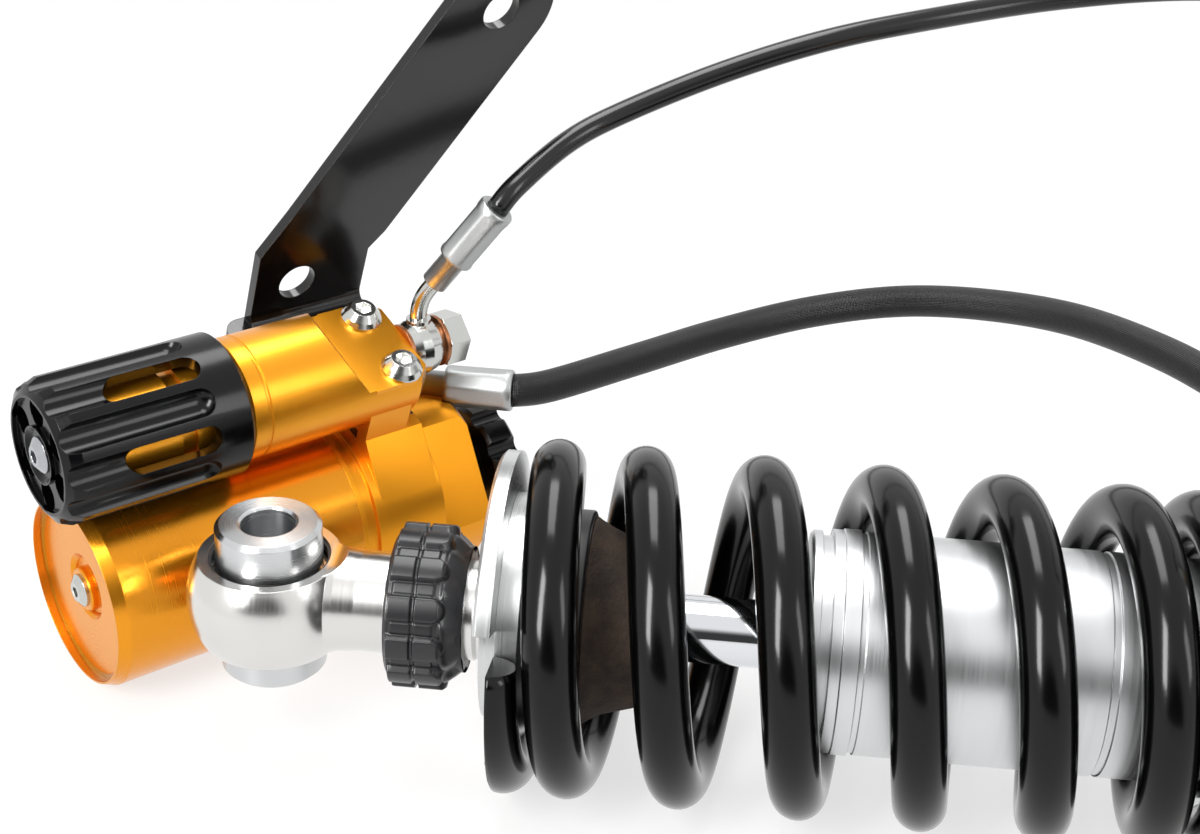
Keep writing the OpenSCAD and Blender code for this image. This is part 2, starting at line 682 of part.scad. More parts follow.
module compression_knob() color(black) at_reservoir() difference() {
    turned([
        [0, head_end + air], [9.4, head_end + air], [10, head_end + 1], [10, wheel_from],
        [wheel_r - 1, wheel_from], [wheel_r, wheel_from + 1], [wheel_r, wheel_from + wheel_w - 1],
        [wheel_r - 1, wheel_from + wheel_w], [0, wheel_from + wheel_w]
    ]);
    for (i = [0 : 9]) rotate([36 * i, 0, 0]) translate([wheel_from - 1, 0, wheel_r + 0.6]) rotate([0, 90, 0])
        cylinder(h = wheel_w + 2, r = 2.6);
    along_x(head_end - 1) cylinder(h = 10, r = 3 + running);
}
module compression_needle() color(steel) at_reservoir() turned([
    [0, head_end - 26], [1, head_end - 26], [valve_r - running, head_end - 20],
    [valve_r - running, head_end - 3], [3, head_end - 3], [3, head_end + 6], [0, head_end + 6]
]);

/* Preload adjuster */

sleeve_r = 13;
sleeve_start = 6;
gland_end = 17;
bore_end = 69.5;
spindle_r = 4.5;
spindle_end = 54;
push_start = 35.5;
push_length = 24;
knob_end = preload_start + preload_knob_length;
knob_wall = 3.6;
foot_end = lug_end - 2;

module preload_body() color(gold) at_adjuster() difference() {
    union() {
        // Sleeve under the knob, with a ring groove
        turned([
            [0, sleeve_start], [sleeve_r - 0.8, sleeve_start], [sleeve_r, sleeve_start + 0.8],
            [sleeve_r, 24], [sleeve_r - 1.2, 24], [sleeve_r - 1.2, 28], [sleeve_r, 28],
            [sleeve_r, knob_end + 0.5], [preload_body_r - 0.6, knob_end + 0.5],
            [preload_body_r, knob_end + 1.2], [preload_body_r, knob_end + 5],
            [preload_body_r - 0.3, knob_end + 5.2], [preload_body_r - 0.3, knob_end + 5.8],
            [preload_body_r, knob_end + 6], [preload_body_r, lug_end - 3.5],
            [preload_body_r - 3.5, lug_end], [0, lug_end]
        ]);
        // Foot over the bracket and the reservoir's head
        translate([0, 0, seam_z]) linear_extrude(facet_z - seam_z) polygon([
            [lug_start, -lug_half], [foot_end - 3, -lug_half], [foot_end, 3 - lug_half],
            [foot_end, lug_half - 3], [foot_end - 3, lug_half], [lug_start, lug_half]
        ]);
    }
    // Facet under the screws' heads, with a sloped step
    translate([lug_start - 2, -30, facet_z]) cube([60, 60, 30]);
    translate([lug_start - 2, -30, facet_z]) rotate([0, -35, 0]) cube([30, 60, 40]);
    // Flat under the lug
    translate([lug_start - 4, -30, seam_z - 10]) cube([60, 60, 10]);
    for (s = [-1, 1]) translate([screw_u, s * screw_half, seam_z - 1]) cylinder(h = 40, r = 3.1);
    // Bore for the piston and the gland, and the oil port
    along_x(sleeve_start - 1) cylinder(h = bore_end - sleeve_start + 1, r = preload_bore / 2);
    along_x(bore_end - 1) cylinder(h = lug_end - bore_end, r = 2);
    along_x(lug_end - 9) cylinder(h = 20, r = 4);
}

// Fluted cover that is turned to move the piston
flute_w = 8;
flute_r = preload_knob_d / 2;
flute_depth = 2.6;
flute_to = knob_end - 9;
window_w = 7.2;
window_from = preload_start + 15;
window_to = knob_end - 9.3;
module slot_cut(from, to, width, low) {
    translate([from + width / 2, -width / 2, low]) cube([to - from - width, width, 30]);
    for (u = [from + width / 2, to - width / 2]) translate([u, 0, low]) cylinder(h = 30, r = width / 2);
}
module preload_knob() color(black) at_adjuster() difference() {
    turned([
        [0, preload_start + 1], [6, preload_start + 1], [7, preload_start], [7.4, preload_start],
        [7.4, preload_start + 1.2], [flute_r - 4.2, preload_start + 1.2], [flute_r - 4.2, preload_start],
        [flute_r - 3.4, preload_start], [flute_r - 1.2, preload_start + 1.2], [flute_r, preload_start + 4],
        [flute_r, knob_end - 1], [flute_r - 1, knob_end], [flute_r - knob_wall, knob_end],
        [flute_r - knob_wall, preload_start + 8], [0, preload_start + 8]
    ]);
    for (i = [0 : preload_flutes - 1]) rotate([360 * i / preload_flutes + 6, 0, 0]) {
        // Round-bottomed flute, open at the knob's end
        translate([0, 0, flute_r - flute_depth + flute_w / 2]) {
            along_x(preload_start - 1) cylinder(h = flute_to - flute_w / 2 - preload_start + 1, r = flute_w / 2);
            translate([flute_to - flute_w / 2, 0, 0]) sphere(r = flute_w / 2);
        }
        if (i % 2 == 0) slot_cut(window_from, window_to, window_w, 10);
    }
    // Round pockets in the end face
    for (i = [0 : 5]) rotate([60 * i + 36, 0, 0]) translate([preload_start - 1, 0, 10.9])
        rotate([0, 90, 0]) cylinder(h = 6, r = 3.7);
    along_x(preload_start + 3) cylinder(h = 6, r = spindle_r);
    along_x(preload_start - 1) cylinder(h = 10, r = 2.5);
}
module preload_knob_screw() color(steel) at_adjuster() difference() {
    turned([
        [0, preload_start - 1], [2.6, preload_start - 1], [4.6, preload_start + 0.4],
        [4.6, preload_start + 1], [2.5, preload_start + 1], [2.5, preload_start + 14], [0, preload_start + 14]
    ]);
    along_x(preload_start - 2) cylinder(h = 2.6, r = 1.8, $fn = 6);
}
module preload_spindle() color(steel) at_adjuster() difference() {
    union() {
        along_x(preload_start + 3) cylinder(h = spindle_end - preload_start - 3, r = spindle_r);
        along_x(gland_end + 0.1) cylinder(h = 3, r = spindle_r + 2.5);
    }
    along_x(preload_start) cylinder(h = 14, r = 2.5);
}
module spindle_gland() color(bronze) at_adjuster()
    ring_x(sleeve_start, gland_end - sleeve_start, preload_bore / 2, spindle_r + running);

// Piston on the spindle's thread: turning the spindle pushes it along the bore
module preload_piston() color(silver) at_adjuster() difference() {
    along_x(push_start) cylinder(h = push_length, r = preload_bore / 2 - running);
    along_x(push_start - 1) cylinder(h = spindle_end + 2 - push_start, r = spindle_r + running);
    ring_x(push_start + push_length - 5, 3, preload_bore, preload_bore / 2 - 1.4);
}

// Button-head screws with hex sockets
module button_screw(length, r, head_r, head_h) {
    difference() {
        union() {
            rotate_extrude() polygon([
                [0, 0], [head_r, 0], [head_r, 0.6], [head_r - 0.7, 1.8], [head_r - 2.2, head_h],
                [0, head_h]
            ]);
            translate([0, 0, -length]) cylinder(h = length, r = r);
        }
        translate([0, 0, head_h - 2.2]) cylinder(h = 4, r = 2.3, $fn = 6);
    }
}
module clamp_screws() color(steel) at_adjuster() for (s = [-1, 1])
    translate([screw_u, s * screw_half, facet_z]) button_screw(facet_z - seam_z + 13, 3, 5.5, 3.6);

/* Mounting bracket: a foot clamped under the adjuster and an upright arm */

foot_back = adjuster_y + 36.4;
foot_left = 62.6;
arm_left = 70;
arm_lean = 31;
arm_bottom = adjuster_z + seam_z - bracket_t;
low_hole = [83, 42];
high_hole = low_hole + bracket_hole_pitch * [sin(arm_lean), cos(arm_lean)];
arm_right = arm_left + bracket_w + 1.2;
function arm_edge(side, along) = high_hole + side * bracket_w / 2 * [cos(arm_lean), -sin(arm_lean)]
    - along * [sin(arm_lean), cos(arm_lean)];
module arm_outline() {
    difference() {
        union() {
            translate(high_hole) circle(r = bracket_w / 2);
            polygon([
                arm_edge(-1, 0), arm_edge(-1, bracket_hole_pitch - 18),
                [arm_left, arm_bottom + 26.5], [arm_left, arm_bottom + 1],
                [arm_right, arm_bottom + 1], [arm_right, arm_bottom + 20.5], arm_edge(1, 70), arm_edge(1, 0)
            ]);
        }
        translate(low_hole) circle(d = bracket_hole_d);
        translate(high_hole) circle(d = bracket_hole_d);
    }
}
module mount_bracket() color(black) at_reservoir() difference() {
    union() {
        // Arm, in a plane square to the foot
        translate([0, foot_back, 0]) rotate([90, 0, 0]) linear_extrude(bracket_t, center = true) arm_outline();
        // Foot that lies in the clamp's seam
        translate([0, 0, arm_bottom]) linear_extrude(bracket_t) difference() {
            union() {
                translate([lug_start + eps, adjuster_y - lug_half + foot_lip + 0.2])
                    square([lug_end - lug_start - 2 * eps, 30]);
                translate([arm_left + 4, adjuster_y + 18])
                    square([arm_right - arm_left - 4, foot_back - adjuster_y - 18]);
                translate([foot_left + 5, adjuster_y + 18])
                    square([20, foot_back - adjuster_y - 18 + bracket_t / 2]);
                translate([foot_left, adjuster_y + 24]) square([20, foot_back - adjuster_y - 24 - 5]);
                translate([foot_left + 5, foot_back - 5 + bracket_t / 2]) circle(r = 5);
                translate([foot_left + 6, adjuster_y + 24]) circle(r = 6);
            }
            for (s = [-1, 1]) translate([screw_u, adjuster_y + s * screw_half]) circle(r = 3.1);
        }
        // Bend between the two
        translate([arm_left, foot_back - bracket_t / 2 - 3, arm_bottom + bracket_t])
            difference() {
                cube([arm_right - arm_left, 3, 3]);
                translate([-1, 0, 3]) rotate([0, 90, 0]) cylinder(h = 60, r = 3);
            }
    }
    // Outer side of the bend
    translate([foot_left - 1, foot_back + bracket_t / 2 - 3, arm_bottom + 3]) difference() {
        translate([0, 0, -4]) cube([60, 4, 4]);
        translate([-1, 0, 0]) rotate([0, 90, 0]) cylinder(h = 62, r = 3);
    }
}

/* Hose ends */

// The preload banjo's eye in the part's frame
function yawed(v) = [
    v[0] * cos(reservoir_yaw) - v[1] * sin(reservoir_yaw),
    v[0] * sin(reservoir_yaw) + v[1] * cos(reservoir_yaw), v[2]
];
function rolled(v) = [
    v[0], v[1] * cos(clamp_roll) - v[2] * sin(clamp_roll), v[1] * sin(clamp_roll) + v[2] * cos(clamp_roll)
];
banjo_at = reservoir_at + yawed(rolled([banjo_u, adjuster_y, adjuster_z]));
pipe_tilt = atan2(3, 4);
pipe_bend_r = 14;
pipe_r = 2.3;
ferrule_length = 19;
ferrule_room = 0.4;
socket_length = 9;
// From the banjo's centre to the hose, and to the ferrule's socket
hose_step = [21, 0, 41];
socket_step = hose_step - (ferrule_length + socket_length) * [0.6, 0, 0.8];
preload_hose_from = banjo_at + hose_step;
pipe_straight = (socket_step[0] - pipe_bend_r * 0.2) / 0.6;
bend_z = socket_step[2] - 0.8 * pipe_straight - 0.6 * pipe_bend_r;

module preload_banjo() color(steel) {
    difference() {
        union() {
            at_adjuster() turned([
                [0, banjo_u - banjo_w / 2], [banjo_r - 0.6, banjo_u - banjo_w / 2],
                [banjo_r + 0.7, banjo_u - 2.6], [banjo_r + 1.2, banjo_u], [banjo_r + 0.7, banjo_u + 2.6],
                [banjo_r - 0.6, banjo_u + banjo_w / 2], [0, banjo_u + banjo_w / 2]
            ]);
            translate(banjo_at) cylinder(h = bend_z, r = pipe_r);
            translate(banjo_at) cylinder(h = banjo_r + 1.5, r = pipe_r + 1);
        }
        at_adjuster() along_x(lug_end) cylinder(h = 20, r = 4 + running);
    }
    translate(banjo_at) {
        translate([pipe_bend_r, 0, bend_z]) rotate([90, 0, 0]) rotate([0, 0, 180 - pipe_tilt])
            rotate_extrude(angle = pipe_tilt) translate([pipe_bend_r, 0]) circle(r = pipe_r);
        translate(socket_step) rotate([0, pipe_tilt, 0]) translate([0, 0, -pipe_straight])
            cylinder(h = pipe_straight, r = pipe_r);
    }
}

// The reservoir hose's fitting at the damper's head
head_banjo_z = head_boss_top + washer_t + banjo_w / 2;
head_hose_turn = 120;
head_pipe = 14;
module reservoir_banjo() color(steel) translate([head_boss_x, 0, head_banjo_z]) difference() {
    union() {
        cylinder(h = banjo_w, r = banjo_r + 1, center = true);
        rotate([0, 0, head_hose_turn]) rotate([0, 90, 0]) cylinder(h = head_pipe, r = 3.4);
    }
    cylinder(h = 30, r = 5 + running, center = true);
}

module hex_bolt(head_w, head_h, r, length) {
    cylinder(h = head_h, r = head_w / 2 / cos(30), $fn = 6);
    translate([0, 0, -length]) cylinder(h = length, r = r);
}
module banjo_bolts() color(steel) {
    at_adjuster() along_x(lug_end + 2 * washer_t + banjo_w) hex_bolt(13, 6, 4, 2 * washer_t + banjo_w + 8);
    translate([head_boss_x, 0, head_boss_top + 2 * washer_t + banjo_w]) hex_bolt(15, 7, 5, 2 * washer_t + banjo_w + 10);
}
module banjo_washers() color(copper) {
    for (u = [lug_end, lug_end + washer_t + banjo_w]) at_adjuster() ring_x(u, washer_t, banjo_r + 0.4, 4);
    for (z = [head_boss_top, head_boss_top + washer_t + banjo_w]) translate([head_boss_x, 0, z]) difference() {
        cylinder(h = washer_t, r = banjo_r + 1.4);
        translate([0, 0, -1]) cylinder(h = washer_t + 2, r = 5);
    }
}

// A crimped ferrule that ends at the origin and points along +Z, over its socket
module ferrule(length, r, socket, socket_r) {
    translate([0, 0, -length]) cylinder(h = length, r = r, $fn = 8);
    translate([0, 0, -length - socket]) cylinder(h = socket, r = socket_r);
}
reservoir_ferrule_r = 5.8;
reservoir_hose_from = [45, 93, 11];
head_ferrule = 24;
collar_hose_z = ring_piston_r + 34;
head_hose_way = [cos(head_hose_turn), sin(head_hose_turn), 0];
reservoir_hose_to = [head_boss_x, 0, head_banjo_z] + (head_pipe + head_ferrule) * head_hose_way;
module hose_ferrules() color(chrome) {
    translate(preload_hose_from) rotate([0, pipe_tilt, 0]) ferrule(ferrule_length, 4.9, socket_length, 3.5);
    translate([collar_port_x, 0, collar_hose_z])
        ferrule(ferrule_length, 4.9, collar_hose_z - ferrule_length - ring_piston_r, 3);
    translate(reservoir_hose_from) rotate([0, 90, 0])
        ferrule(ferrule_length, reservoir_ferrule_r, reservoir_hose_from[0] - ferrule_length - port_at[0] - 4, 4);
    translate([head_boss_x, 0, head_banjo_z]) rotate([0, 0, head_hose_turn]) rotate([0, 90, 0])
        translate([0, 0, head_pipe]) cylinder(h = head_ferrule, r = reservoir_ferrule_r, $fn = 8);
}

/* Hoses, along points chosen by hand */

preload_route = [
    preload_hose_from, [46, 87, 74], [57, 102, 81], [70, 112, 86.5], [95, 122, 96], [121, 130, 104],
    [147, 140, 108.5], [187, 156, 113], [225, 156, 118], [260, 136, 122.5], [280, 96, 124],
    [276, 52, 119], [256, 18, 108], [241, 2, 88], [collar_port_x, 0, collar_hose_z]
];
reservoir_route = [
    reservoir_hose_from, [55, 98, 11], [77, 114, 13], [101, 132, 15], [127, 141, 20], [153, 142, 25],
    [177, 130, 31], [198, 110, 37], [216, 82, 42], [230, 58, 43.5], reservoir_hose_to
];
module preload_hose() color(black)
    swept(smooth_route(preload_route, 3), preload_hose_d / 2, 8, [0.6, 0, 0.8], [0, 0, -1]);
module reservoir_hose() color(black)
    swept(smooth_route(reservoir_route, 3), reservoir_hose_d / 2, 10, [1, 0, 0], -head_hose_way);

lower_eye();
lower_bearing_race();
lower_bearing_ball();
lower_spacer_top();
lower_spacer_bottom();
lower_eye_seals();
lower_circlips();
rebound_knob();
rebound_knob_core();
rebound_cross_pin();
rebound_rod();
lower_spring_seat();
bump_stop_cup();
bump_stop();
damper_shaft();
piston();
piston_band();
rebound_shims();
compression_shims();
piston_nut();
seal_head();
shaft_seal();
dust_scraper();
damper_tube();
spring();
upper_spring_seat();
preload_collar();
collar_seals();
damper_head();
upper_bearing_race();
upper_bearing_ball();
upper_spacer_top();
upper_spacer_bottom();
upper_circlips();
upper_eye_seals();
reservoir_tube();
reservoir_end_cap();
reservoir_snap_ring();
fill_screw();
floating_piston();
floating_piston_band();
reservoir_head();
compression_knob();
compression_needle();
preload_body();
preload_knob();
preload_knob_screw();
preload_spindle();
spindle_gland();
preload_piston();
clamp_screws();
mount_bracket();
banjo_bolts();
banjo_washers();
preload_banjo();
reservoir_banjo();
hose_ferrules();
preload_hose();
reservoir_hose();
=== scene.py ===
"""Looks of a motorcycle rear shock absorber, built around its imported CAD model.

A coil-over damper lies on a pale table. Its gas reservoir lies beside it on the end of a hose, and carries
a hydraulic spring preload adjuster and a black mounting bracket. Everything is in metres, in the CAD's frame:
+X runs along the shock from its lower eye, +Z along the eyes' bores, and the table is 42 mm below the axis.
"""
import math

import bpy
from mathutils import Matrix, Vector, noise


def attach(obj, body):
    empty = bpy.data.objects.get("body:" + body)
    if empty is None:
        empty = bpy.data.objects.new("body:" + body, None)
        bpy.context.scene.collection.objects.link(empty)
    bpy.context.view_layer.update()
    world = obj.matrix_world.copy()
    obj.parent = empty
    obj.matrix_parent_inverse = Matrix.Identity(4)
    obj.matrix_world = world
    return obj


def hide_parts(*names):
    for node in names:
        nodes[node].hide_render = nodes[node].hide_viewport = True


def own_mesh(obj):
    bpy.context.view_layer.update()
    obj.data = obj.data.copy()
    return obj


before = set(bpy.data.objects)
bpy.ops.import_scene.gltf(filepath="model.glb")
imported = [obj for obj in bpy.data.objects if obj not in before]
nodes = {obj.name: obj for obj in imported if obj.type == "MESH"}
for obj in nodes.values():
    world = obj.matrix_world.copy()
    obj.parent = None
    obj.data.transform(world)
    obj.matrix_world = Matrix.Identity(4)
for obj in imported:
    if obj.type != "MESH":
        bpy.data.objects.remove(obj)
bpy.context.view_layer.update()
scene = bpy.context.scene


# Camera. A long lens stands in front of the shock and above it, and looks down at its lower end,
# so that the upper spring seat and the damper's head are outside the picture on the right.
camera_data = bpy.data.cameras.new("camera")
camera_data.lens = 57.7
camera_data.sensor_width = 36
camera_data.sensor_fit = "HORIZONTAL"
camera_data.clip_start = 0.02
camera_data.clip_end = 20
camera = bpy.data.objects.new("camera", camera_data)
scene.collection.objects.link(camera)
camera_at = Vector((0.10686, -0.37790, 0.25391))
camera_ahead = Vector((-0.0701, 0.8818, -0.4663)).normalized()
camera_up = Vector((-0.0783, 0.4612, 0.8838))
camera_right = camera_ahead.cross(camera_up).normalized()
camera_up = camera_right.cross(camera_ahead)
camera.matrix_world = Matrix((
    (camera_right.x, camera_up.x, -camera_ahead.x, camera_at.x),
    (camera_right.y, camera_up.y, -camera_ahead.y, camera_at.y),
    (camera_right.z, camera_up.z, -camera_ahead.z, camera_at.z),
    (0, 0, 0, 1),
))
scene.camera = camera


# Preload hose. A thin hydraulic hose with a smooth gloss black cover runs from the crimped ferrule on the
# adjuster's banjo, up and round behind the shock, to the ferrule on top of the preload collar.
def colour(text):
    """A linear colour from an sRGB hex code."""
    parts = [int(text[i:i + 2], 16) / 255 for i in (1, 3, 5)]
    return (*(p / 12.92 if p <= 0.04045 else ((p + 0.055) / 1.055) ** 2.4 for p in parts), 1)


def add(tree, kind, inputs=None, **settings):
    """A shader node with its settings, its values, and its links from other nodes' sockets."""
    made = tree.nodes.new(kind)
    for key, value in settings.items():
        setattr(made, key, value)
    for key, value in (inputs or {}).items():
        if isinstance(value, bpy.types.NodeSocket):
            tree.links.new(value, made.inputs[key])
        else:
            made.inputs[key].default_value = value
    return made


def finish(name, **values):
    """A material with one principled shader, whose sockets take plain values by name."""
    made = bpy.data.materials.new(name)
    made.use_nodes = True
    tree = made.node_tree
    tree.nodes.clear()
    shader = add(tree, "ShaderNodeBsdfPrincipled", {k.replace("_", " "): v for k, v in values.items()})
    add(tree, "ShaderNodeOutputMaterial", {"Surface": shader.outputs["BSDF"]})
    return made, tree, shader


def relief(tree, shader, height, depth, below=None, strength=1.0):
    """Raises a surface by a pattern of the given depth in metres, over any relief that it already has."""
    inputs = {"Height": height, "Strength": strength, "Distance": depth}
    if below:
        inputs["Normal"] = below.outputs["Normal"]
    made = add(tree, "ShaderNodeBump", inputs)
    tree.links.new(made.outputs["Normal"], shader.inputs["Normal"])
    return made


def smooth_through(points, steps):
    """Points of a smooth curve through the given ones, with a few steps in each stretch."""
    points = [Vector(p) for p in points]
    out = []
    for i in range(len(points) - 1):
        a, b, c, d = points[max(i - 1, 0)], points[i], points[i + 1], points[min(i + 2, len(points) - 1)]
        for s in range(steps):
            t = s / steps
            out.append(0.5 * (2 * b + (c - a) * t + (2 * a - 5 * b + 4 * c - d) * t * t
                              + (3 * b - a - 3 * c + d) * t ** 3))
    return out + [points[-1]]


# Length in the UV map of the strip that closes a loop of rings
LAST_STEP = 0.001


def skin(name, rings, loop=False):
    """A mesh over rings of points, which are capped at both ends or looped back to the first.

    Its UV map runs once round each ring, and in metres from ring to ring.
    """
    sides, count = len(rings[0]), len(rings)
    along = [0.0]
    for a, b in zip(rings, rings[1:]):
        along.append(along[-1] + sum(((q - p).length for p, q in zip(a, b)), 0.0) / sides)
    faces, marks = [], []
    for i in range(count if loop else count - 1):
        n = (i + 1) % count
        near, far = along[i], along[n] if n else along[i] + LAST_STEP
        for j in range(sides):
            k = (j + 1) % sides
            faces.append((i * sides + j, i * sides + k, n * sides + k, n * sides + j))
            left, right = j / sides, (j + 1) / sides
            marks += [(left, near), (right, near), (right, far), (left, far)]
    if not loop:
        for ring in (list(range(sides))[::-1], [(count - 1) * sides + j for j in range(sides)]):
            faces.append(ring)
            marks += [(0.0, 0.0)] * sides
    mesh = bpy.data.meshes.new(name)
    mesh.from_pydata([tuple(p) for ring in rings for p in ring], [], faces)
    layer = mesh.uv_layers.new(name="surface")
    layer.data.foreach_set("uv", [c for mark in marks for c in mark])
    mesh.polygons.foreach_set("use_smooth", [len(f) == 4 for f in faces])
    mesh.update()
    made = bpy.data.objects.new(name, mesh)
    scene.collection.objects.link(made)
    return made


def hose(name, line, radius, sides, start_way, end_way):
    """A round hose along a line of points, with its ends square to the given directions."""
    ways = [(line[min(i + 1, len(line) - 1)] - line[max(i - 1, 0)]).normalized() for i in range(len(line))]
    ways[0], ways[-1] = Vector(start_way).normalized(), Vector(end_way).normalized()
    across = ways[0].orthogonal().normalized()
    rings = []
    for p, way in zip(line, ways):
        across = (across - way * across.dot(way)).normalized()
        other = way.cross(across)
        turns = [2 * math.pi * j / sides for j in range(sides)]
        rings.append([p + radius * (math.cos(a) * across + math.sin(a) * other) for a in turns])
    return skin(name, rings)


preload_hose_route = [
    (0.0416, 0.08227, 0.06905), (0.046, 0.087, 0.074), (0.057, 0.102, 0.081), (0.070, 0.112, 0.0865),
    (0.095, 0.122, 0.096), (0.121, 0.130, 0.104), (0.147, 0.140, 0.1085), (0.187, 0.156, 0.113),
    (0.225, 0.156, 0.118), (0.260, 0.136, 0.1225), (0.280, 0.096, 0.124), (0.276, 0.052, 0.119),
    (0.256, 0.018, 0.108), (0.241, 0.002, 0.088), (0.239, 0, 0.070),
]
PRELOAD_HOSE_R = 0.003
PRELOAD_HOSE_OUT, COLLAR_FITTING_OUT = (0.6, 0, 0.8), (0, 0, 1)
preload_hose_line = smooth_through(preload_hose_route, steps=8)
preload_hose = hose("preload_hose_cover", preload_hose_line, PRELOAD_HOSE_R, sides=24,
                    start_way=PRELOAD_HOSE_OUT, end_way=-Vector(COLLAR_FITTING_OUT))
# Extruded thermoplastic: nearly black and glossy, with faint streaks along it from the die, which are about
# 0.3 mm wide and 25 mm long
STREAKS_ROUND, STREAKS_A_METRE = 60, 40
smooth_cover, tree, shader = finish("extruded black hose cover", Base_Color=colour("#0a0a0b"), Roughness=0.2,
                                    Specular_IOR_Level=0.45)
face = add(tree, "ShaderNodeTexCoord")
drawn = add(tree, "ShaderNodeMapping", {"Vector": face.outputs["UV"],
                                        "Scale": (STREAKS_ROUND, STREAKS_A_METRE, 1)})
streaks = add(tree, "ShaderNodeTexNoise", {"Vector": drawn.outputs["Vector"], "Scale": 1.0, "Detail": 3.0})
relief(tree, shader, streaks.outputs["Fac"], depth=4e-5, strength=0.3)
preload_hose.data.materials.append(smooth_cover)
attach(preload_hose, "damper")
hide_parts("preload_hose")


# Reservoir hose. A thicker rubber hose, whose cover keeps the fine weave of the cloth it was cured in, takes
# the damper's oil from the fitting on the damper's head to the reservoir's head.
reservoir_hose_route = [
    (0.045, 0.093, 0.011), (0.055, 0.098, 0.011), (0.077, 0.114, 0.013), (0.101, 0.132, 0.015),
    (0.127, 0.141, 0.020), (0.153, 0.142, 0.025), (0.177, 0.130, 0.031), (0.198, 0.110, 0.037),
    (0.216, 0.082, 0.042), (0.230, 0.058, 0.0435), (0.245, 0.03291, 0.044),
]
RESERVOIR_HOSE_R = 0.0046
RESERVOIR_PORT_OUT, HEAD_FITTING_OUT = (1, 0, 0), (-0.5, 0.866, 0)
reservoir_hose_line = smooth_through(reservoir_hose_route, steps=10)
reservoir_hose = hose("reservoir_hose_cover", reservoir_hose_line, RESERVOIR_HOSE_R, sides=32,
                      start_way=RESERVOIR_PORT_OUT, end_way=-Vector(HEAD_FITTING_OUT))
# Cured rubber: black and half matt, with the cloth's crossing threads drawn about twice their real width
THREAD_MM = 0.9
woven_cover, tree, shader = finish("cloth-marked black hose rubber", Base_Color=colour("#060607"),
                                   Roughness=0.36, Specular_IOR_Level=0.35)
face = add(tree, "ShaderNodeTexCoord")
way_round = 2 * math.pi * RESERVOIR_HOSE_R
threads = []
for lean in (1, -1):
    laid = add(tree, "ShaderNodeMapping", {"Vector": face.outputs["UV"], "Scale": (way_round * lean, 1, 1)})
    split = add(tree, "ShaderNodeSeparateXYZ", {"Vector": laid.outputs["Vector"]})
    total = add(tree, "ShaderNodeMath", {0: split.outputs["X"], 1: split.outputs["Y"]}, operation="ADD")
    waves = add(tree, "ShaderNodeMath", {0: total.outputs[0], 1: 2 * math.pi / (THREAD_MM / 1000)},
                operation="MULTIPLY")
    threads.append(add(tree, "ShaderNodeMath", {0: waves.outputs[0]}, operation="SINE"))
crossing = add(tree, "ShaderNodeMath", {0: threads[0].outputs[0], 1: threads[1].outputs[0]},
               operation="MULTIPLY")
relief(tree, shader, crossing.outputs[0], depth=8e-5, strength=0.7)
reservoir_hose.data.materials.append(woven_cover)
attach(reservoir_hose, "damper")
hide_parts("reservoir_hose")


# Reservoir. The tube is turned and bored from bar, its head is milled round a turned boss, and the end cap
# is turned with a raised rim. All three are satin blasted and anodised gold, so they keep only faint marks.
RESERVOIR_YAW = math.radians(44)
# Its axis starts at this point, by the end cap, and runs this way to the head
RESERVOIR_AT = (-0.0555, 0.0164, -0.01625)
RESERVOIR_WAY = (math.cos(RESERVOIR_YAW), math.sin(RESERVOIR_YAW), 0)
# Every turned surface has tint clouds about 20 mm wide, a shallow grain, and edges broken by 0.25 mm. Its
# roughness varies between two shares of the value given for it.
CLOUDS_A_METRE = 45.0
GRAIN_DEPTH = 6e-7
BROKEN_EDGE = 0.00025
LEAST_ROUGH, MOST_ROUGH = 0.8, 1.5


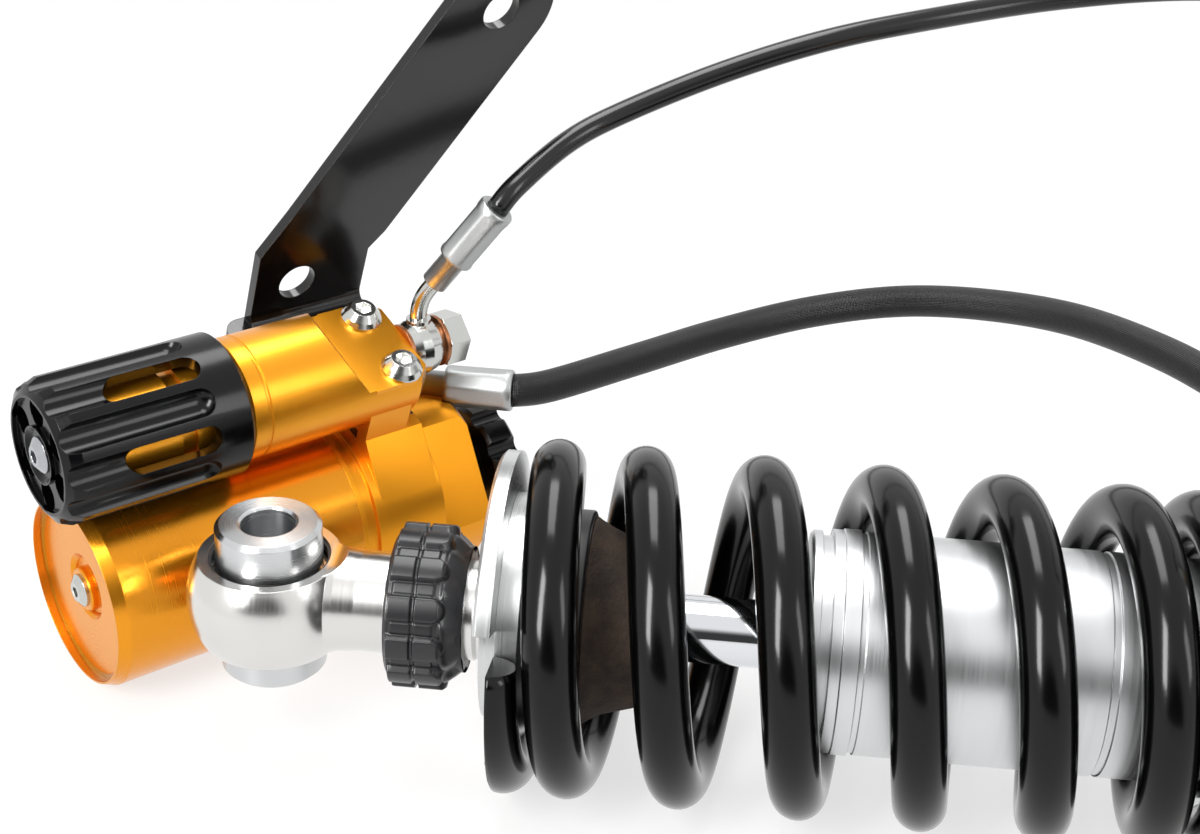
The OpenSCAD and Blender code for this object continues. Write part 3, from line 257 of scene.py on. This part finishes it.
def turned(name, hexa, at, way, roughness, rings_mm, rings_depth, tint=None, grain_mm=0.25, anisotropy=0.0,
           metallic=1.0, **values):
    """A surface turned about an axis: rings of tool marks round it, a fine grain, and a soft uneven tint.

    rings_mm is the rings' spacing, rings_depth their depth in metres, and grain_mm the grain's size. Real
    marks are finer than a pixel here, so both are drawn a few times coarser, and shallow enough that only
    the reflections show them.
    """
    made, tree, shader = finish(name, Metallic=metallic, Anisotropic=anisotropy, **values)
    place = add(tree, "ShaderNodeTexCoord")
    apart = add(tree, "ShaderNodeVectorMath", {0: place.outputs["Object"], 1: at}, operation="SUBTRACT")
    along = add(tree, "ShaderNodeVectorMath", {0: apart.outputs["Vector"], 1: way}, operation="DOT_PRODUCT")
    round_axis = add(tree, "ShaderNodeVectorMath", {0: way, 1: apart.outputs["Vector"]},
                     operation="CROSS_PRODUCT")
    radius = add(tree, "ShaderNodeVectorMath", {0: round_axis.outputs["Vector"]}, operation="LENGTH")
    both = add(tree, "ShaderNodeMath", {0: along.outputs["Value"], 1: radius.outputs["Value"]},
               operation="ADD")
    rings = add(tree, "ShaderNodeTexNoise", {"W": both.outputs[0], "Scale": 1000 / rings_mm, "Detail": 2.0},
                noise_dimensions="1D")
    grain = add(tree, "ShaderNodeTexNoise", {"Vector": place.outputs["Object"], "Scale": 1000 / grain_mm,
                                             "Detail": 1.0})
    cloud = add(tree, "ShaderNodeTexNoise", {"Vector": place.outputs["Object"], "Scale": CLOUDS_A_METRE,
                                             "Detail": 3.0})
    base = add(tree, "ShaderNodeMix", {"Factor": cloud.outputs["Fac"]}, data_type="RGBA")
    base.inputs[6].default_value = colour(hexa)
    base.inputs[7].default_value = colour(tint or hexa)
    tree.links.new(base.outputs[2], shader.inputs["Base Color"])
    worn = add(tree, "ShaderNodeMath", {0: cloud.outputs["Fac"], 1: rings.outputs["Fac"]},
               operation="MULTIPLY")
    rough = add(tree, "ShaderNodeMapRange", {"Value": worn.outputs[0], "To Min": roughness * LEAST_ROUGH,
                                             "To Max": roughness * MOST_ROUGH})
    tree.links.new(rough.outputs["Result"], shader.inputs["Roughness"])
    edges = add(tree, "ShaderNodeBevel", {"Radius": BROKEN_EDGE}, samples=4)
    marks = relief(tree, shader, rings.outputs["Fac"], rings_depth, below=edges)
    relief(tree, shader, grain.outputs["Fac"], GRAIN_DEPTH, below=marks)
    if anisotropy:
        tree.links.new(round_axis.outputs["Vector"], shader.inputs["Tangent"])
    return made


def dress(material, *names):
    """CAD nodes, which keep their shape, take a material."""
    for n in names:
        nodes[n].data.materials.clear()
        nodes[n].data.materials.append(material)


def dyed_gold(name, hexa, tint, at, way, roughness, coat=0.15):
    """Anodised aluminium, dyed gold: a metal with a warm tint and soft reflections.

    The dyed layer spreads a little of the light, and its sealed skin shines like a thin coat.
    """
    return turned(name, hexa, at, way, roughness=roughness, rings_mm=0.5, rings_depth=3e-7, tint=tint,
                  metallic=0.88, Coat_Weight=coat, Coat_Roughness=0.15)


gold = dyed_gold("gold anodised aluminium", "#e8981f", "#e28f17", RESERVOIR_AT, RESERVOIR_WAY, roughness=0.25)
dress(gold, "reservoir_tube", "reservoir_end_cap")
# The milled head has the same dye over a coarser blasting, so it mirrors less and has no shine of its own
head_gold = dyed_gold("gold anodised head", "#eb9c20", "#e59318", RESERVOIR_AT, RESERVOIR_WAY, roughness=0.34,
                      coat=0.0)
dress(head_gold, "reservoir_head")


# Preload adjuster. Its cylinder is turned from the same bar stock and anodised with the reservoir. The knob
# is a black anodised sleeve with round-bottomed flutes, every second one cut through as a window.
ADJUSTER_AT = (-0.051693, 0.012457, 0.028047)
adjuster_gold = dyed_gold("gold anodised adjuster", "#eca023", "#e6961a", ADJUSTER_AT, RESERVOIR_WAY,
                          roughness=0.32)
dress(adjuster_gold, "preload_body")
# Black anodised aluminium: the dye hides the metal, so it looks like a dark satin lacquer
knob_black = turned("black anodised knob", "#020203", ADJUSTER_AT, RESERVOIR_WAY, roughness=0.2,
                    rings_mm=0.4, rings_depth=3e-7, tint="#040405", metallic=0.0, Specular_IOR_Level=0.28)
dress(knob_black, "preload_knob")
# The small compression knob at the reservoir's far end has the same finish
RESERVOIR_END_AT = (0.0279, 0.097, -0.01625)
wheel_black = turned("black anodised wheel", "#040405", RESERVOIR_END_AT, RESERVOIR_WAY, roughness=0.24,
                     rings_mm=0.4, rings_depth=3e-7, tint="#070708", metallic=0.0, Specular_IOR_Level=0.3)
dress(wheel_black, "compression_knob")


# Screws, bolts and fittings. They are cold headed or turned from steel bar and bright zinc plated, and the
# bolts' sealing washers are copper. The piston's band and the spindle's gland are bronze. The ferrules are
# pressed on to the hoses with eight jaws, which leave flats.
# Bright zinc plate on steel: a pale grey mirror, a little blurred by the marks under it
zinc = turned("bright zinc plate", "#cfd0ce", ADJUSTER_AT, RESERVOIR_WAY, roughness=0.16, rings_mm=0.3,
              rings_depth=4e-7, tint="#c4c5c0")
dress(zinc, "reservoir_snap_ring", "fill_screw", "clamp_screws", "banjo_bolts", "piston_nut",
      "preload_banjo", "reservoir_banjo", "lower_circlips", "upper_circlips")
# Annealed copper: reddish brown and dull. Turned bronze is yellower, with plain tool marks.
copper = turned("copper washer", "#a8714f", ADJUSTER_AT, RESERVOIR_WAY, roughness=0.35, rings_mm=0.3,
                rings_depth=5e-7)
dress(copper, "banjo_washers")
bronze = turned("turned bronze", "#b98d4c", ADJUSTER_AT, RESERVOIR_WAY, roughness=0.3, rings_mm=0.3,
                rings_depth=8e-7)
dress(bronze, "piston_band", "spindle_gland")


# A flat stands nearer to the middle than the round collars do, by this share of their radius
JAWS, FLAT_SHARE = 8, 0.945
FERRULE_SIDES = 64


def ferrule_ring(at, way, place, radius, flats):
    """One ring of a ferrule: round where flats is 0, and eight-sided with soft corners where it is 1."""
    way = Vector(way).normalized()
    across = way.orthogonal().normalized()
    other = way.cross(across)
    ring = []
    for j in range(FERRULE_SIDES):
        a = 2 * math.pi * j / FERRULE_SIDES
        in_flat = (a + math.pi / JAWS) % (2 * math.pi / JAWS) - math.pi / JAWS
        r = radius * (1 - flats + flats * FLAT_SHARE / math.cos(in_flat))
        ring.append(Vector(at) + way * place + min(r, radius) * (math.cos(a) * across + math.sin(a) * other))
    return ring


def ferrule(name, at, way, length, radius, socket, socket_r):
    """A crimped ferrule that ends at a point and looks along way, with its plain socket behind it.

    The sleeve has a round collar at each end, and the jaws' flats between the two.
    """
    back = -length
    outline = [
        (back - socket, socket_r - 0.0002, 0), (back - socket + 0.0002, socket_r, 0), (back, socket_r, 0),
        (back, radius - 0.0008, 0), (back + 0.0004, radius - 0.0002, 0), (back + 0.0012, radius, 0),
        (back + 0.0022, radius, 1), (back * 0.5, radius, 1), (-0.0032, radius, 1),
        (-0.0022, radius, 0), (-0.0005, radius, 0), (0, radius - 0.0004, 0),
    ]
    made = skin(name, [ferrule_ring(at, way, place, r, flats) for place, r, flats in outline])
    made.data.materials.append(pressed_steel)
    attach(made, "damper")
    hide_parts("hose_ferrules")


# Pressed steel with dull zinc plate: a light grey that spreads its reflections
pressed_steel = turned("dull zinc plate", "#b9bbbb", ADJUSTER_AT, RESERVOIR_WAY, roughness=0.42,
                       rings_mm=0.5, rings_depth=8e-7, tint="#adafae", grain_mm=0.4)
# The four sizes of each are its length and radius, and its socket's length and radius
ferrule("preload_hose_ferrule", preload_hose_route[0], PRELOAD_HOSE_OUT, 0.019, 0.0049, 0.009, 0.0035)
ferrule("collar_hose_ferrule", preload_hose_route[-1], COLLAR_FITTING_OUT, 0.019, 0.0049, 0.015, 0.003)
ferrule("reservoir_hose_ferrule", reservoir_hose_route[0], RESERVOIR_PORT_OUT, 0.019, 0.0058, 0.014, 0.004)
ferrule("head_hose_ferrule", reservoir_hose_route[-1], HEAD_FITTING_OUT, 0.024, 0.0058, 0.0002, 0.004)


# Mounting bracket. A 3 mm steel sheet is cut, bent at its foot and painted gloss black, with a little orange
# peel in the paint.
PEEL_MM = 2.5
PAINTED_EDGE = 0.0004
paint, tree, shader = finish("gloss black paint", Base_Color=colour("#0d0b0b"), Roughness=0.14,
                             Specular_IOR_Level=0.55)
face = add(tree, "ShaderNodeTexCoord")
peel = add(tree, "ShaderNodeTexNoise", {"Vector": face.outputs["Object"], "Scale": 1000 / PEEL_MM,
                                        "Detail": 2.0})
edges = add(tree, "ShaderNodeBevel", {"Radius": PAINTED_EDGE}, samples=4)
relief(tree, shader, peel.outputs["Fac"], depth=1e-5, below=edges)
dress(paint, "mount_bracket")


# Lower and upper eyes. Each body is forged aluminium, machined all over, blasted and clear anodised. A
# spherical bearing sits in it between circlips, and the bright turned spacers stand out of it on both sides.
EYE_WAY = (0, 0, 1)
SHOCK_AT, SHOCK_WAY = (0, 0, 0), (1, 0, 0)
UPPER_EYE_AT = (0.318, 0, 0)
# Blasting and clear anodising leave a silvery metal with soft reflections
eye_satin = turned("clear anodised forging", "#e2e1df", SHOCK_AT, SHOCK_WAY, roughness=0.22, rings_mm=0.6,
                   rings_depth=2e-7, tint="#d9d8d5")
dress(eye_satin, "lower_eye", "damper_head")
# Fine turning leaves a bright surface that stretches reflections across its rings
for at, names in ((SHOCK_AT, ("lower_spacer_top", "lower_spacer_bottom")),
                  (UPPER_EYE_AT, ("upper_spacer_top", "upper_spacer_bottom"))):
    sleeve = turned("bright turned sleeve " + names[0][:5], "#d4d5d6", at, EYE_WAY, roughness=0.26,
                    rings_mm=0.35, rings_depth=2e-6, tint="#cbcccd", anisotropy=0.85,
                    Anisotropic_Rotation=0.25)
    dress(sleeve, *names)
# Hard chrome, ground and polished, is a nearly clear mirror; ground bearing steel is darker and less sharp
chrome = turned("ground hard chrome", "#dfe1e4", SHOCK_AT, SHOCK_WAY, roughness=0.07, rings_mm=0.3,
                rings_depth=1e-7)
dress(chrome, "damper_shaft", "lower_bearing_ball", "upper_bearing_ball")
bearing = turned("ground bearing steel", "#b4b6b9", SHOCK_AT, EYE_WAY, roughness=0.2, rings_mm=0.3,
                 rings_depth=5e-7)
dress(bearing, "lower_bearing_race", "upper_bearing_race", "rebound_cross_pin", "rebound_shims",
      "compression_shims", "compression_needle", "preload_spindle", "preload_knob_screw")
# Seals of nitrile rubber: black, half matt, with the mould's texture
SEAL_GRAIN_MM = 0.4
seal_rubber, tree, shader = finish("nitrile seal rubber", Base_Color=colour("#17181a"), Roughness=0.45)
face = add(tree, "ShaderNodeTexCoord")
mould = add(tree, "ShaderNodeTexNoise", {"Vector": face.outputs["Object"], "Scale": 1000 / SEAL_GRAIN_MM,
                                         "Detail": 1.0})
relief(tree, shader, mould.outputs["Fac"], depth=1e-5)
dress(seal_rubber, "lower_eye_seals", "upper_eye_seals", "shaft_seal", "dust_scraper", "collar_seals",
      "floating_piston_band")


# Rebound knob. A moulded rubber grip with twelve lugs is bonded to a threaded core; a fine groove runs round
# its middle, low pads lie between the lugs, and its inner side is a scalloped cone.
GRIP_FROM, GRIP_TO = 0.030, 0.048
GRIP_R, GRIP_LOW_R, GRIP_BORE_R = 0.0196, 0.0176, 0.0150
GRIP_RINGS, GRIP_SIDES = 91, 384
# A lug's half width, and the flanks of the lugs and pads, are shares of the step from one lug to the next
LUGS, LUG_HALF, LUG_FLANK = 12, 0.27, 0.06
LUG_FROM, LUG_TO, LUG_ROUND, LUG_CROWN = 0.0306, 0.0444, 0.0018, 0.0002
LUG_RISE, LUG_FALL = 0.0007, 0.0006
PAD_FROM, PAD_TO, PAD_HEIGHT = 0.0316, 0.0418, 0.0004
PAD_RISE, PAD_FLANK = 0.0005, 0.03
# Between the lugs the groove keeps only a share of its depth
GROOVE_X, GROOVE_HALF, GROOVE_DEPTH, GROOVE_SHARE = 0.0370, 0.0003, 0.0008, 0.4
SCALLOP_FROM, SCALLOP_RISE, SCALLOP_DEPTH = 0.0428, 0.001, 0.0005
CONE_FROM, CONE_LENGTH, CONE_DEPTH = 0.0430, 0.0075, 0.0048
END_ROUND = 0.0009


def ease(t):
    """A smooth step from 0 to 1."""
    t = min(max(t, 0.0), 1.0)
    return t * t * (3 - 2 * t)


def grip_radius(x, turn):
    """Radius of the grip at a place along it and an angle round it, in radians."""
    off = abs((turn * LUGS / (2 * math.pi) + 0.5) % 1 - 0.5)
    lug_side = ease((LUG_HALF + LUG_FLANK - off) / LUG_FLANK)
    lug_end = LUG_TO - LUG_ROUND * (off / LUG_HALF) ** 3
    lug = lug_side * ease((x - LUG_FROM) / LUG_RISE) * ease((lug_end - x) / LUG_FALL)
    lug_height = GRIP_R - GRIP_LOW_R - LUG_CROWN * (off / LUG_HALF) ** 2
    pad_side = ease((off - LUG_HALF - LUG_FLANK) / PAD_FLANK)
    pad = pad_side * ease((x - PAD_FROM) / PAD_RISE) * ease((PAD_TO - x) / PAD_RISE)
    scallop = SCALLOP_DEPTH * math.cos(turn * LUGS) * ease((x - SCALLOP_FROM) / SCALLOP_RISE)
    cone = CONE_DEPTH * ease((x - CONE_FROM) / CONE_LENGTH) + scallop
    rounded = END_ROUND * (1 - ease((x - GRIP_FROM) / END_ROUND))
    groove = GROOVE_DEPTH * ease((2 * GROOVE_HALF - abs(x - GROOVE_X)) / GROOVE_HALF)
    cut = groove * (GROOVE_SHARE + (1 - GROOVE_SHARE) * lug)
    return GRIP_LOW_R - cone - rounded + lug * lug_height + pad * PAD_HEIGHT - cut


def shock_ring(x, radius, sides):
    """A ring of points round the shock's axis, from its radius at each angle."""
    turns = [2 * math.pi * j / sides for j in range(sides)]
    return [Vector((x, radius(a) * math.cos(a), radius(a) * math.sin(a))) for a in turns]


grip_rings = []
for i in range(GRIP_RINGS):
    x = GRIP_FROM + (GRIP_TO - GRIP_FROM) * i / (GRIP_RINGS - 1)
    grip_rings.append(shock_ring(x, lambda a: grip_radius(x, a), GRIP_SIDES))
for x in (GRIP_TO, GRIP_FROM):
    grip_rings.append(shock_ring(x, lambda a: GRIP_BORE_R, GRIP_SIDES))
grip = skin("rebound_knob_grip", grip_rings, loop=True)
# Moulded rubber: a dark grey black, half matt, with the mould's texture of a third of a millimetre
GRIP_GRAINS_A_METRE = 3000.0
grip_rubber, tree, shader = finish("moulded grip rubber", Base_Color=colour("#1a1a1c"), Roughness=0.3,
                                   Specular_IOR_Level=0.5)
face = add(tree, "ShaderNodeTexCoord")
mould = add(tree, "ShaderNodeTexNoise", {"Vector": face.outputs["Object"], "Scale": GRIP_GRAINS_A_METRE,
                                         "Detail": 1.0})
relief(tree, shader, mould.outputs["Fac"], depth=1.2e-5)
grip.data.materials.append(grip_rubber)
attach(grip, "rebound_adjuster")
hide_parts("rebound_knob")
# The core is black anodised. The rod inside the shaft, the pistons and the upper spring seat are left bright
# from the lathe, with clear reflections between fine rings.
core_black = turned("black anodised core", "#101011", SHOCK_AT, SHOCK_WAY, roughness=0.35, rings_mm=0.4,
                    rings_depth=5e-7, metallic=0.0)
dress(core_black, "rebound_knob_core")
bright = turned("bright turned parts", "#cfd0d2", SHOCK_AT, SHOCK_WAY, roughness=0.22, rings_mm=0.4,
                rings_depth=8e-7)
dress(bright, "rebound_rod", "piston", "upper_spring_seat", "floating_piston", "preload_piston")


# Lower spring seat. A C-shaped ring turned and slotted from plate, blasted and clear anodised, which leaves
# it silvery and half matt; it slips over the shaft under the spring's closed end.
seat_satin = turned("clear anodised seat", "#dadbdb", SHOCK_AT, SHOCK_WAY, roughness=0.3, rings_mm=0.6,
                    rings_depth=3e-7, tint="#d0d1d1")
dress(seat_satin, "lower_spring_seat")


# Bump stop. A crowned cone of brown microcellular foam sits in its black cup; its skin is mottled and
# pitted, and it squashes against the seal head when the shock is fully compressed.
FOAM_FROM, FOAM_TO = 0.0671, 0.0956
FOAM_BORE_R, BUMP_SIDES = 0.0083, 192
foam_outline = [
    (FOAM_FROM, 0.0237), (0.0757, 0.0237), (0.0765, 0.0243), (0.0785, 0.0231), (0.0811, 0.0218),
    (0.0850, 0.0205), (0.0900, 0.0193), (0.0932, 0.0182), (0.0948, 0.0172), (0.0954, 0.0167),
    (FOAM_TO, 0.0160),
]
# The skin's broad dents and its small ones: how deep they are, and how many lie in a metre
BROAD_DENT, BROAD_A_METRE = 0.00018, 170
SMALL_DENT, SMALL_A_METRE = 0.00010, 600


def dented(x, radius, turn):
    """Radius of the foam with its dents, broad ones of about 6 mm and small ones of about 2 mm."""
    spot = Vector((x, radius * math.cos(turn), radius * math.sin(turn)))
    broad, small = noise.noise(spot * BROAD_A_METRE), noise.noise(spot * SMALL_A_METRE)
    return radius + (BROAD_DENT * broad + SMALL_DENT * small)


foam_rings = []
for p in smooth_through([(x, r, 0) for x, r in foam_outline], steps=6):
    foam_rings.append(shock_ring(p.x, lambda a: dented(p.x, p.y, a), BUMP_SIDES))
for x in (FOAM_TO, FOAM_FROM):
    foam_rings.append(shock_ring(x, lambda a: FOAM_BORE_R, BUMP_SIDES))
bump_foam = skin("bump_stop_foam", foam_rings, loop=True)
# Cellular polyurethane: a dull skin with darker and rustier patches about 11 mm wide, and pits over half a
# millimetre wide
PATCHES_A_METRE = 90.0
PIT_MM = 0.625
foam, tree, shader = finish("brown cellular polyurethane", Roughness=0.8, Specular_IOR_Level=0.3)
face = add(tree, "ShaderNodeTexCoord")
patches = add(tree, "ShaderNodeTexNoise", {"Vector": face.outputs["Object"], "Scale": PATCHES_A_METRE,
                                           "Detail": 6.0, "Roughness": 0.8})
mottle = add(tree, "ShaderNodeValToRGB", {"Fac": patches.outputs["Fac"]})
for stop, position, hexa in zip(mottle.color_ramp.elements, (0.36, 0.66), ("#2c2521", "#4a3b30")):
    stop.position = position
    stop.color = colour(hexa)
tree.links.new(mottle.outputs["Color"], shader.inputs["Base Color"])
pits = add(tree, "ShaderNodeTexVoronoi", {"Vector": face.outputs["Object"], "Scale": 1000 / PIT_MM})
pitted = relief(tree, shader, pits.outputs["Distance"], depth=1.8e-4)
relief(tree, shader, patches.outputs["Fac"], depth=1.5e-4, below=pitted)
bump_foam.data.materials.append(foam)
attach(bump_foam, "lower_end")
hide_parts("bump_stop")
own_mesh(bump_foam)
# The cup is turned in black anodised aluminium, with a soft edge round its rim
CUP_FROM, CUP_TO = 0.0645, 0.0761
CUP_R, CUP_WALL, CUP_FLOOR = 0.0258, 0.0018, 0.0025
cup_outline = [
    (CUP_FROM, CUP_R - 0.0006), (CUP_FROM + 0.0002, CUP_R - 0.0002), (CUP_FROM + 0.0006, CUP_R),
    (CUP_TO - 0.0006, CUP_R), (CUP_TO - 0.0002, CUP_R - 0.0002), (CUP_TO, CUP_R - 0.0006),
    (CUP_TO, CUP_R - CUP_WALL + 0.0002), (CUP_TO - 0.0003, CUP_R - CUP_WALL),
    (CUP_FROM + CUP_FLOOR, CUP_R - CUP_WALL), (CUP_FROM + CUP_FLOOR, FOAM_BORE_R), (CUP_FROM, FOAM_BORE_R),
]
cup = skin("bump_stop_cup_shell", [shock_ring(x, lambda a: r, BUMP_SIDES) for x, r in cup_outline],
           loop=True)
cup.data.materials.append(core_black)
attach(cup, "lower_end")
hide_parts("bump_stop_cup")


# Damper. The tube is drawn aluminium, turned with two pairs of ring grooves, and clear anodised a little
# greyer and duller than the forgings; the seal head closes it round the chromed shaft.
tube_satin = turned("clear anodised tube", "#dedfe0", SHOCK_AT, SHOCK_WAY, roughness=0.36, rings_mm=0.8,
                    rings_depth=3e-7, tint="#d6d7d8")
dress(tube_satin, "damper_tube", "seal_head")


# Coil spring. One bar of round spring wire is wound cold, its end coils are closed and ground flat, and it is
# powder coated in gloss black.
SPRING_FROM, SPRING_TO = 0.0575, 0.2218
WIRE_R, COIL_R = 0.0063, 0.0357
# Of its turns, some lie closed at each end, and the pitch opens over the ones next to them
TURNS, CLOSED, RAMP = 7.2, 0.7, 1.0
# The angle round the shock at which the bar starts, in degrees
TIP_ANGLE = 166
RINGS_A_TURN, WIRE_SIDES = 72, 32
# The wire's middle starts a little past the seat, and the ground face stands just clear of it
GROUND_PAST, SEAT_GAP = 0.0004, 0.00003
CLOSED_GAP = 0.0005
first, last = SPRING_FROM - GROUND_PAST, SPRING_TO + GROUND_PAST
closed_pitch = 2 * WIRE_R + CLOSED_GAP
open_pitch = (last - first - closed_pitch * (2 * CLOSED + RAMP)) / (TURNS - 2 * CLOSED - RAMP)


def end_advance(n):
    """How far the wire has climbed n turns from its end, while it leaves the closed coil."""
    if n < CLOSED:
        return closed_pitch * n
    return closed_pitch * n + (open_pitch - closed_pitch) * (n - CLOSED) ** 2 / (2 * RAMP)


def wire_x(n):
    """Place of the wire's centre along the shock after n turns."""
    if n < CLOSED + RAMP:
        return first + end_advance(n)
    if n > TURNS - CLOSED - RAMP:
        return last - end_advance(TURNS - n)
    return first + end_advance(CLOSED + RAMP) + open_pitch * (n - CLOSED - RAMP)


rings = []
count = round(TURNS * RINGS_A_TURN)
for i in range(count + 1):
    n = TURNS * i / count
    a = math.radians(TIP_ANGLE + 360 * n)
    ring = []
    for j in range(WIRE_SIDES):
        b = 2 * math.pi * j / WIRE_SIDES
        r = COIL_R + WIRE_R * math.cos(b)
        x = min(max(wire_x(n) - WIRE_R * math.sin(b), SPRING_FROM + SEAT_GAP), SPRING_TO - SEAT_GAP)
        ring.append(Vector((x, r * math.cos(a), r * math.sin(a))))
    rings.append(ring)
spring = skin("coil_spring", rings)
# Powder coat: a deep black with a soft gloss, and waves of about 2 mm in its skin
WAVES_A_METRE = 450.0
powder, tree, shader = finish("gloss black powder coat", Base_Color=colour("#030303"), Roughness=0.17,
                              Specular_IOR_Level=0.3)
face = add(tree, "ShaderNodeTexCoord")
waves = add(tree, "ShaderNodeTexNoise", {"Vector": face.outputs["Object"], "Scale": WAVES_A_METRE,
                                         "Detail": 1.0})
relief(tree, shader, waves.outputs["Fac"], depth=1.2e-5)
spring.data.materials.append(powder)
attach(spring, "damper")
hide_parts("spring")
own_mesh(spring)


# Preload collar. A turned ring cylinder, anodised gold like the reservoir, holds the oil that pushes the
# upper spring seat.
collar_gold = dyed_gold("gold anodised collar", "#eca023", "#e6961a", SHOCK_AT, SHOCK_WAY, roughness=0.3)
dress(collar_gold, "preload_collar")


# Table and light. A pale table top runs on to a white background. A long soft light stands in front on the
# left, a broad one hangs over the back, and a weak one fills from the right.
TABLE_Z = -0.0421
TABLE_MIDDLE = (0.12, 0.02, TABLE_Z)
TABLE_LEFT, TABLE_RIGHT, TABLE_FRONT, TABLE_BACK = -4, 4, -4, 6
table_corners = [(TABLE_LEFT, TABLE_FRONT, TABLE_Z), (TABLE_RIGHT, TABLE_FRONT, TABLE_Z),
                 (TABLE_RIGHT, TABLE_BACK, TABLE_Z), (TABLE_LEFT, TABLE_BACK, TABLE_Z)]
table_mesh = bpy.data.meshes.new("table_top")
table_mesh.from_pydata(table_corners, [], [(0, 1, 2, 3)])
table = bpy.data.objects.new("table_top", table_mesh)
scene.collection.objects.link(table)
# Close to the object the table is mostly plain white, with a share of matt white that takes shadows, and in
# mirrors the plain white has a larger share. Further off it is all plain white, like the background.
NEAR_WHITE, MIRROR_EXTRA = 0.7, 0.2
FADE_FROM, FADE_TO = 0.2, 0.4
white_table = bpy.data.materials.new("matt white table")
white_table.use_nodes = True
tree = white_table.node_tree
tree.nodes.clear()
place = add(tree, "ShaderNodeNewGeometry")
apart = add(tree, "ShaderNodeVectorMath", {0: place.outputs["Position"], 1: TABLE_MIDDLE},
            operation="DISTANCE")
far = add(tree, "ShaderNodeMapRange", {"Value": apart.outputs["Value"], "From Min": FADE_FROM,
                                       "From Max": FADE_TO}, interpolation_type="SMOOTHSTEP")
path = add(tree, "ShaderNodeLightPath")
mirrored = add(tree, "ShaderNodeMath", {0: path.outputs["Is Camera Ray"], 1: path.outputs["Is Glossy Ray"]},
               operation="MAXIMUM")
seen = add(tree, "ShaderNodeMath", {0: mirrored.outputs[0], 1: path.outputs["Is Transmission Ray"]},
           operation="MAXIMUM")
least = add(tree, "ShaderNodeMath", {0: path.outputs["Is Glossy Ray"], 1: MIRROR_EXTRA, 2: NEAR_WHITE},
            operation="MULTIPLY_ADD")
pale = add(tree, "ShaderNodeMath", {0: far.outputs["Result"], 1: least.outputs[0]}, operation="MAXIMUM")
white = add(tree, "ShaderNodeMath", {0: pale.outputs[0], 1: seen.outputs[0]}, operation="MULTIPLY")
matt = add(tree, "ShaderNodeBsdfDiffuse", {"Color": (0.9, 0.9, 0.9, 1)})
glow = add(tree, "ShaderNodeEmission", {"Color": (1, 1, 1, 1), "Strength": 1.0})
mixed = add(tree, "ShaderNodeMixShader", {0: white.outputs[0], 1: matt.outputs[0], 2: glow.outputs[0]})
add(tree, "ShaderNodeOutputMaterial", {"Surface": mixed.outputs[0]})
table_mesh.materials.append(white_table)

# The room. The camera sees plain white, and mirrors see a white room that is dark at its front, behind the
# camera, within 20 degrees of it, and fully white from 40 degrees on. What falls on matt surfaces is dim
# daylight.
FRONT_DARK_TO, FRONT_WHITE_FROM, FRONT_DARK = -0.94, -0.76, 0.05
DAYLIGHT = 0.45
world = bpy.data.worlds.new("studio")
scene.world = world
world.use_nodes = True
tree = world.node_tree
tree.nodes.clear()
path = add(tree, "ShaderNodeLightPath")
way = add(tree, "ShaderNodeTexCoord")
aim = add(tree, "ShaderNodeSeparateXYZ", {"Vector": way.outputs["Generated"]})
depth = add(tree, "ShaderNodeMapRange", {"Value": aim.outputs["Y"], "From Min": FRONT_DARK_TO,
                                         "From Max": FRONT_WHITE_FROM, "To Min": FRONT_DARK, "To Max": 1.0},
            interpolation_type="SMOOTHSTEP")
mirrored = add(tree, "ShaderNodeMath", {0: path.outputs["Is Glossy Ray"],
                                        1: path.outputs["Is Transmission Ray"]}, operation="MAXIMUM")
room = add(tree, "ShaderNodeMix", {0: mirrored.outputs[0], 2: DAYLIGHT, 3: depth.outputs["Result"]})
level = add(tree, "ShaderNodeMix", {0: path.outputs["Is Camera Ray"], 2: room.outputs[0], 3: 1.0})
sky = add(tree, "ShaderNodeBackground", {"Color": (1, 1, 1, 1), "Strength": level.outputs[0]})
add(tree, "ShaderNodeOutputWorld", {"Surface": sky.outputs["Background"]})

# The lamps, each with its place, the point it looks at, its two sides and its power
for name, spot, aim, size, watts in (
    ("front strip", (-0.45, -0.72, 0.6), (0.08, 0.0, 0), (0.3, 0.8), 15.0),
    ("overhead", (0.0, 0.3, 1.0), (0.0, 0.02, 0), (0.45, 0.8), 8.0),
    ("right fill", (1.0, -0.4, 0.5), (0.12, 0.0, 0), (0.25, 0.5), 2.0),
):
    light = bpy.data.lights.new(name, "AREA")
    light.shape = "RECTANGLE"
    light.size, light.size_y = size
    light.energy = watts
    lamp = bpy.data.objects.new(name, light)
    scene.collection.objects.link(lamp)
    lamp.location = spot
    lamp.rotation_euler = (Vector(aim) - Vector(spot)).to_track_quat("-Z", "Y").to_euler()

scene.view_settings.view_transform = "Standard"
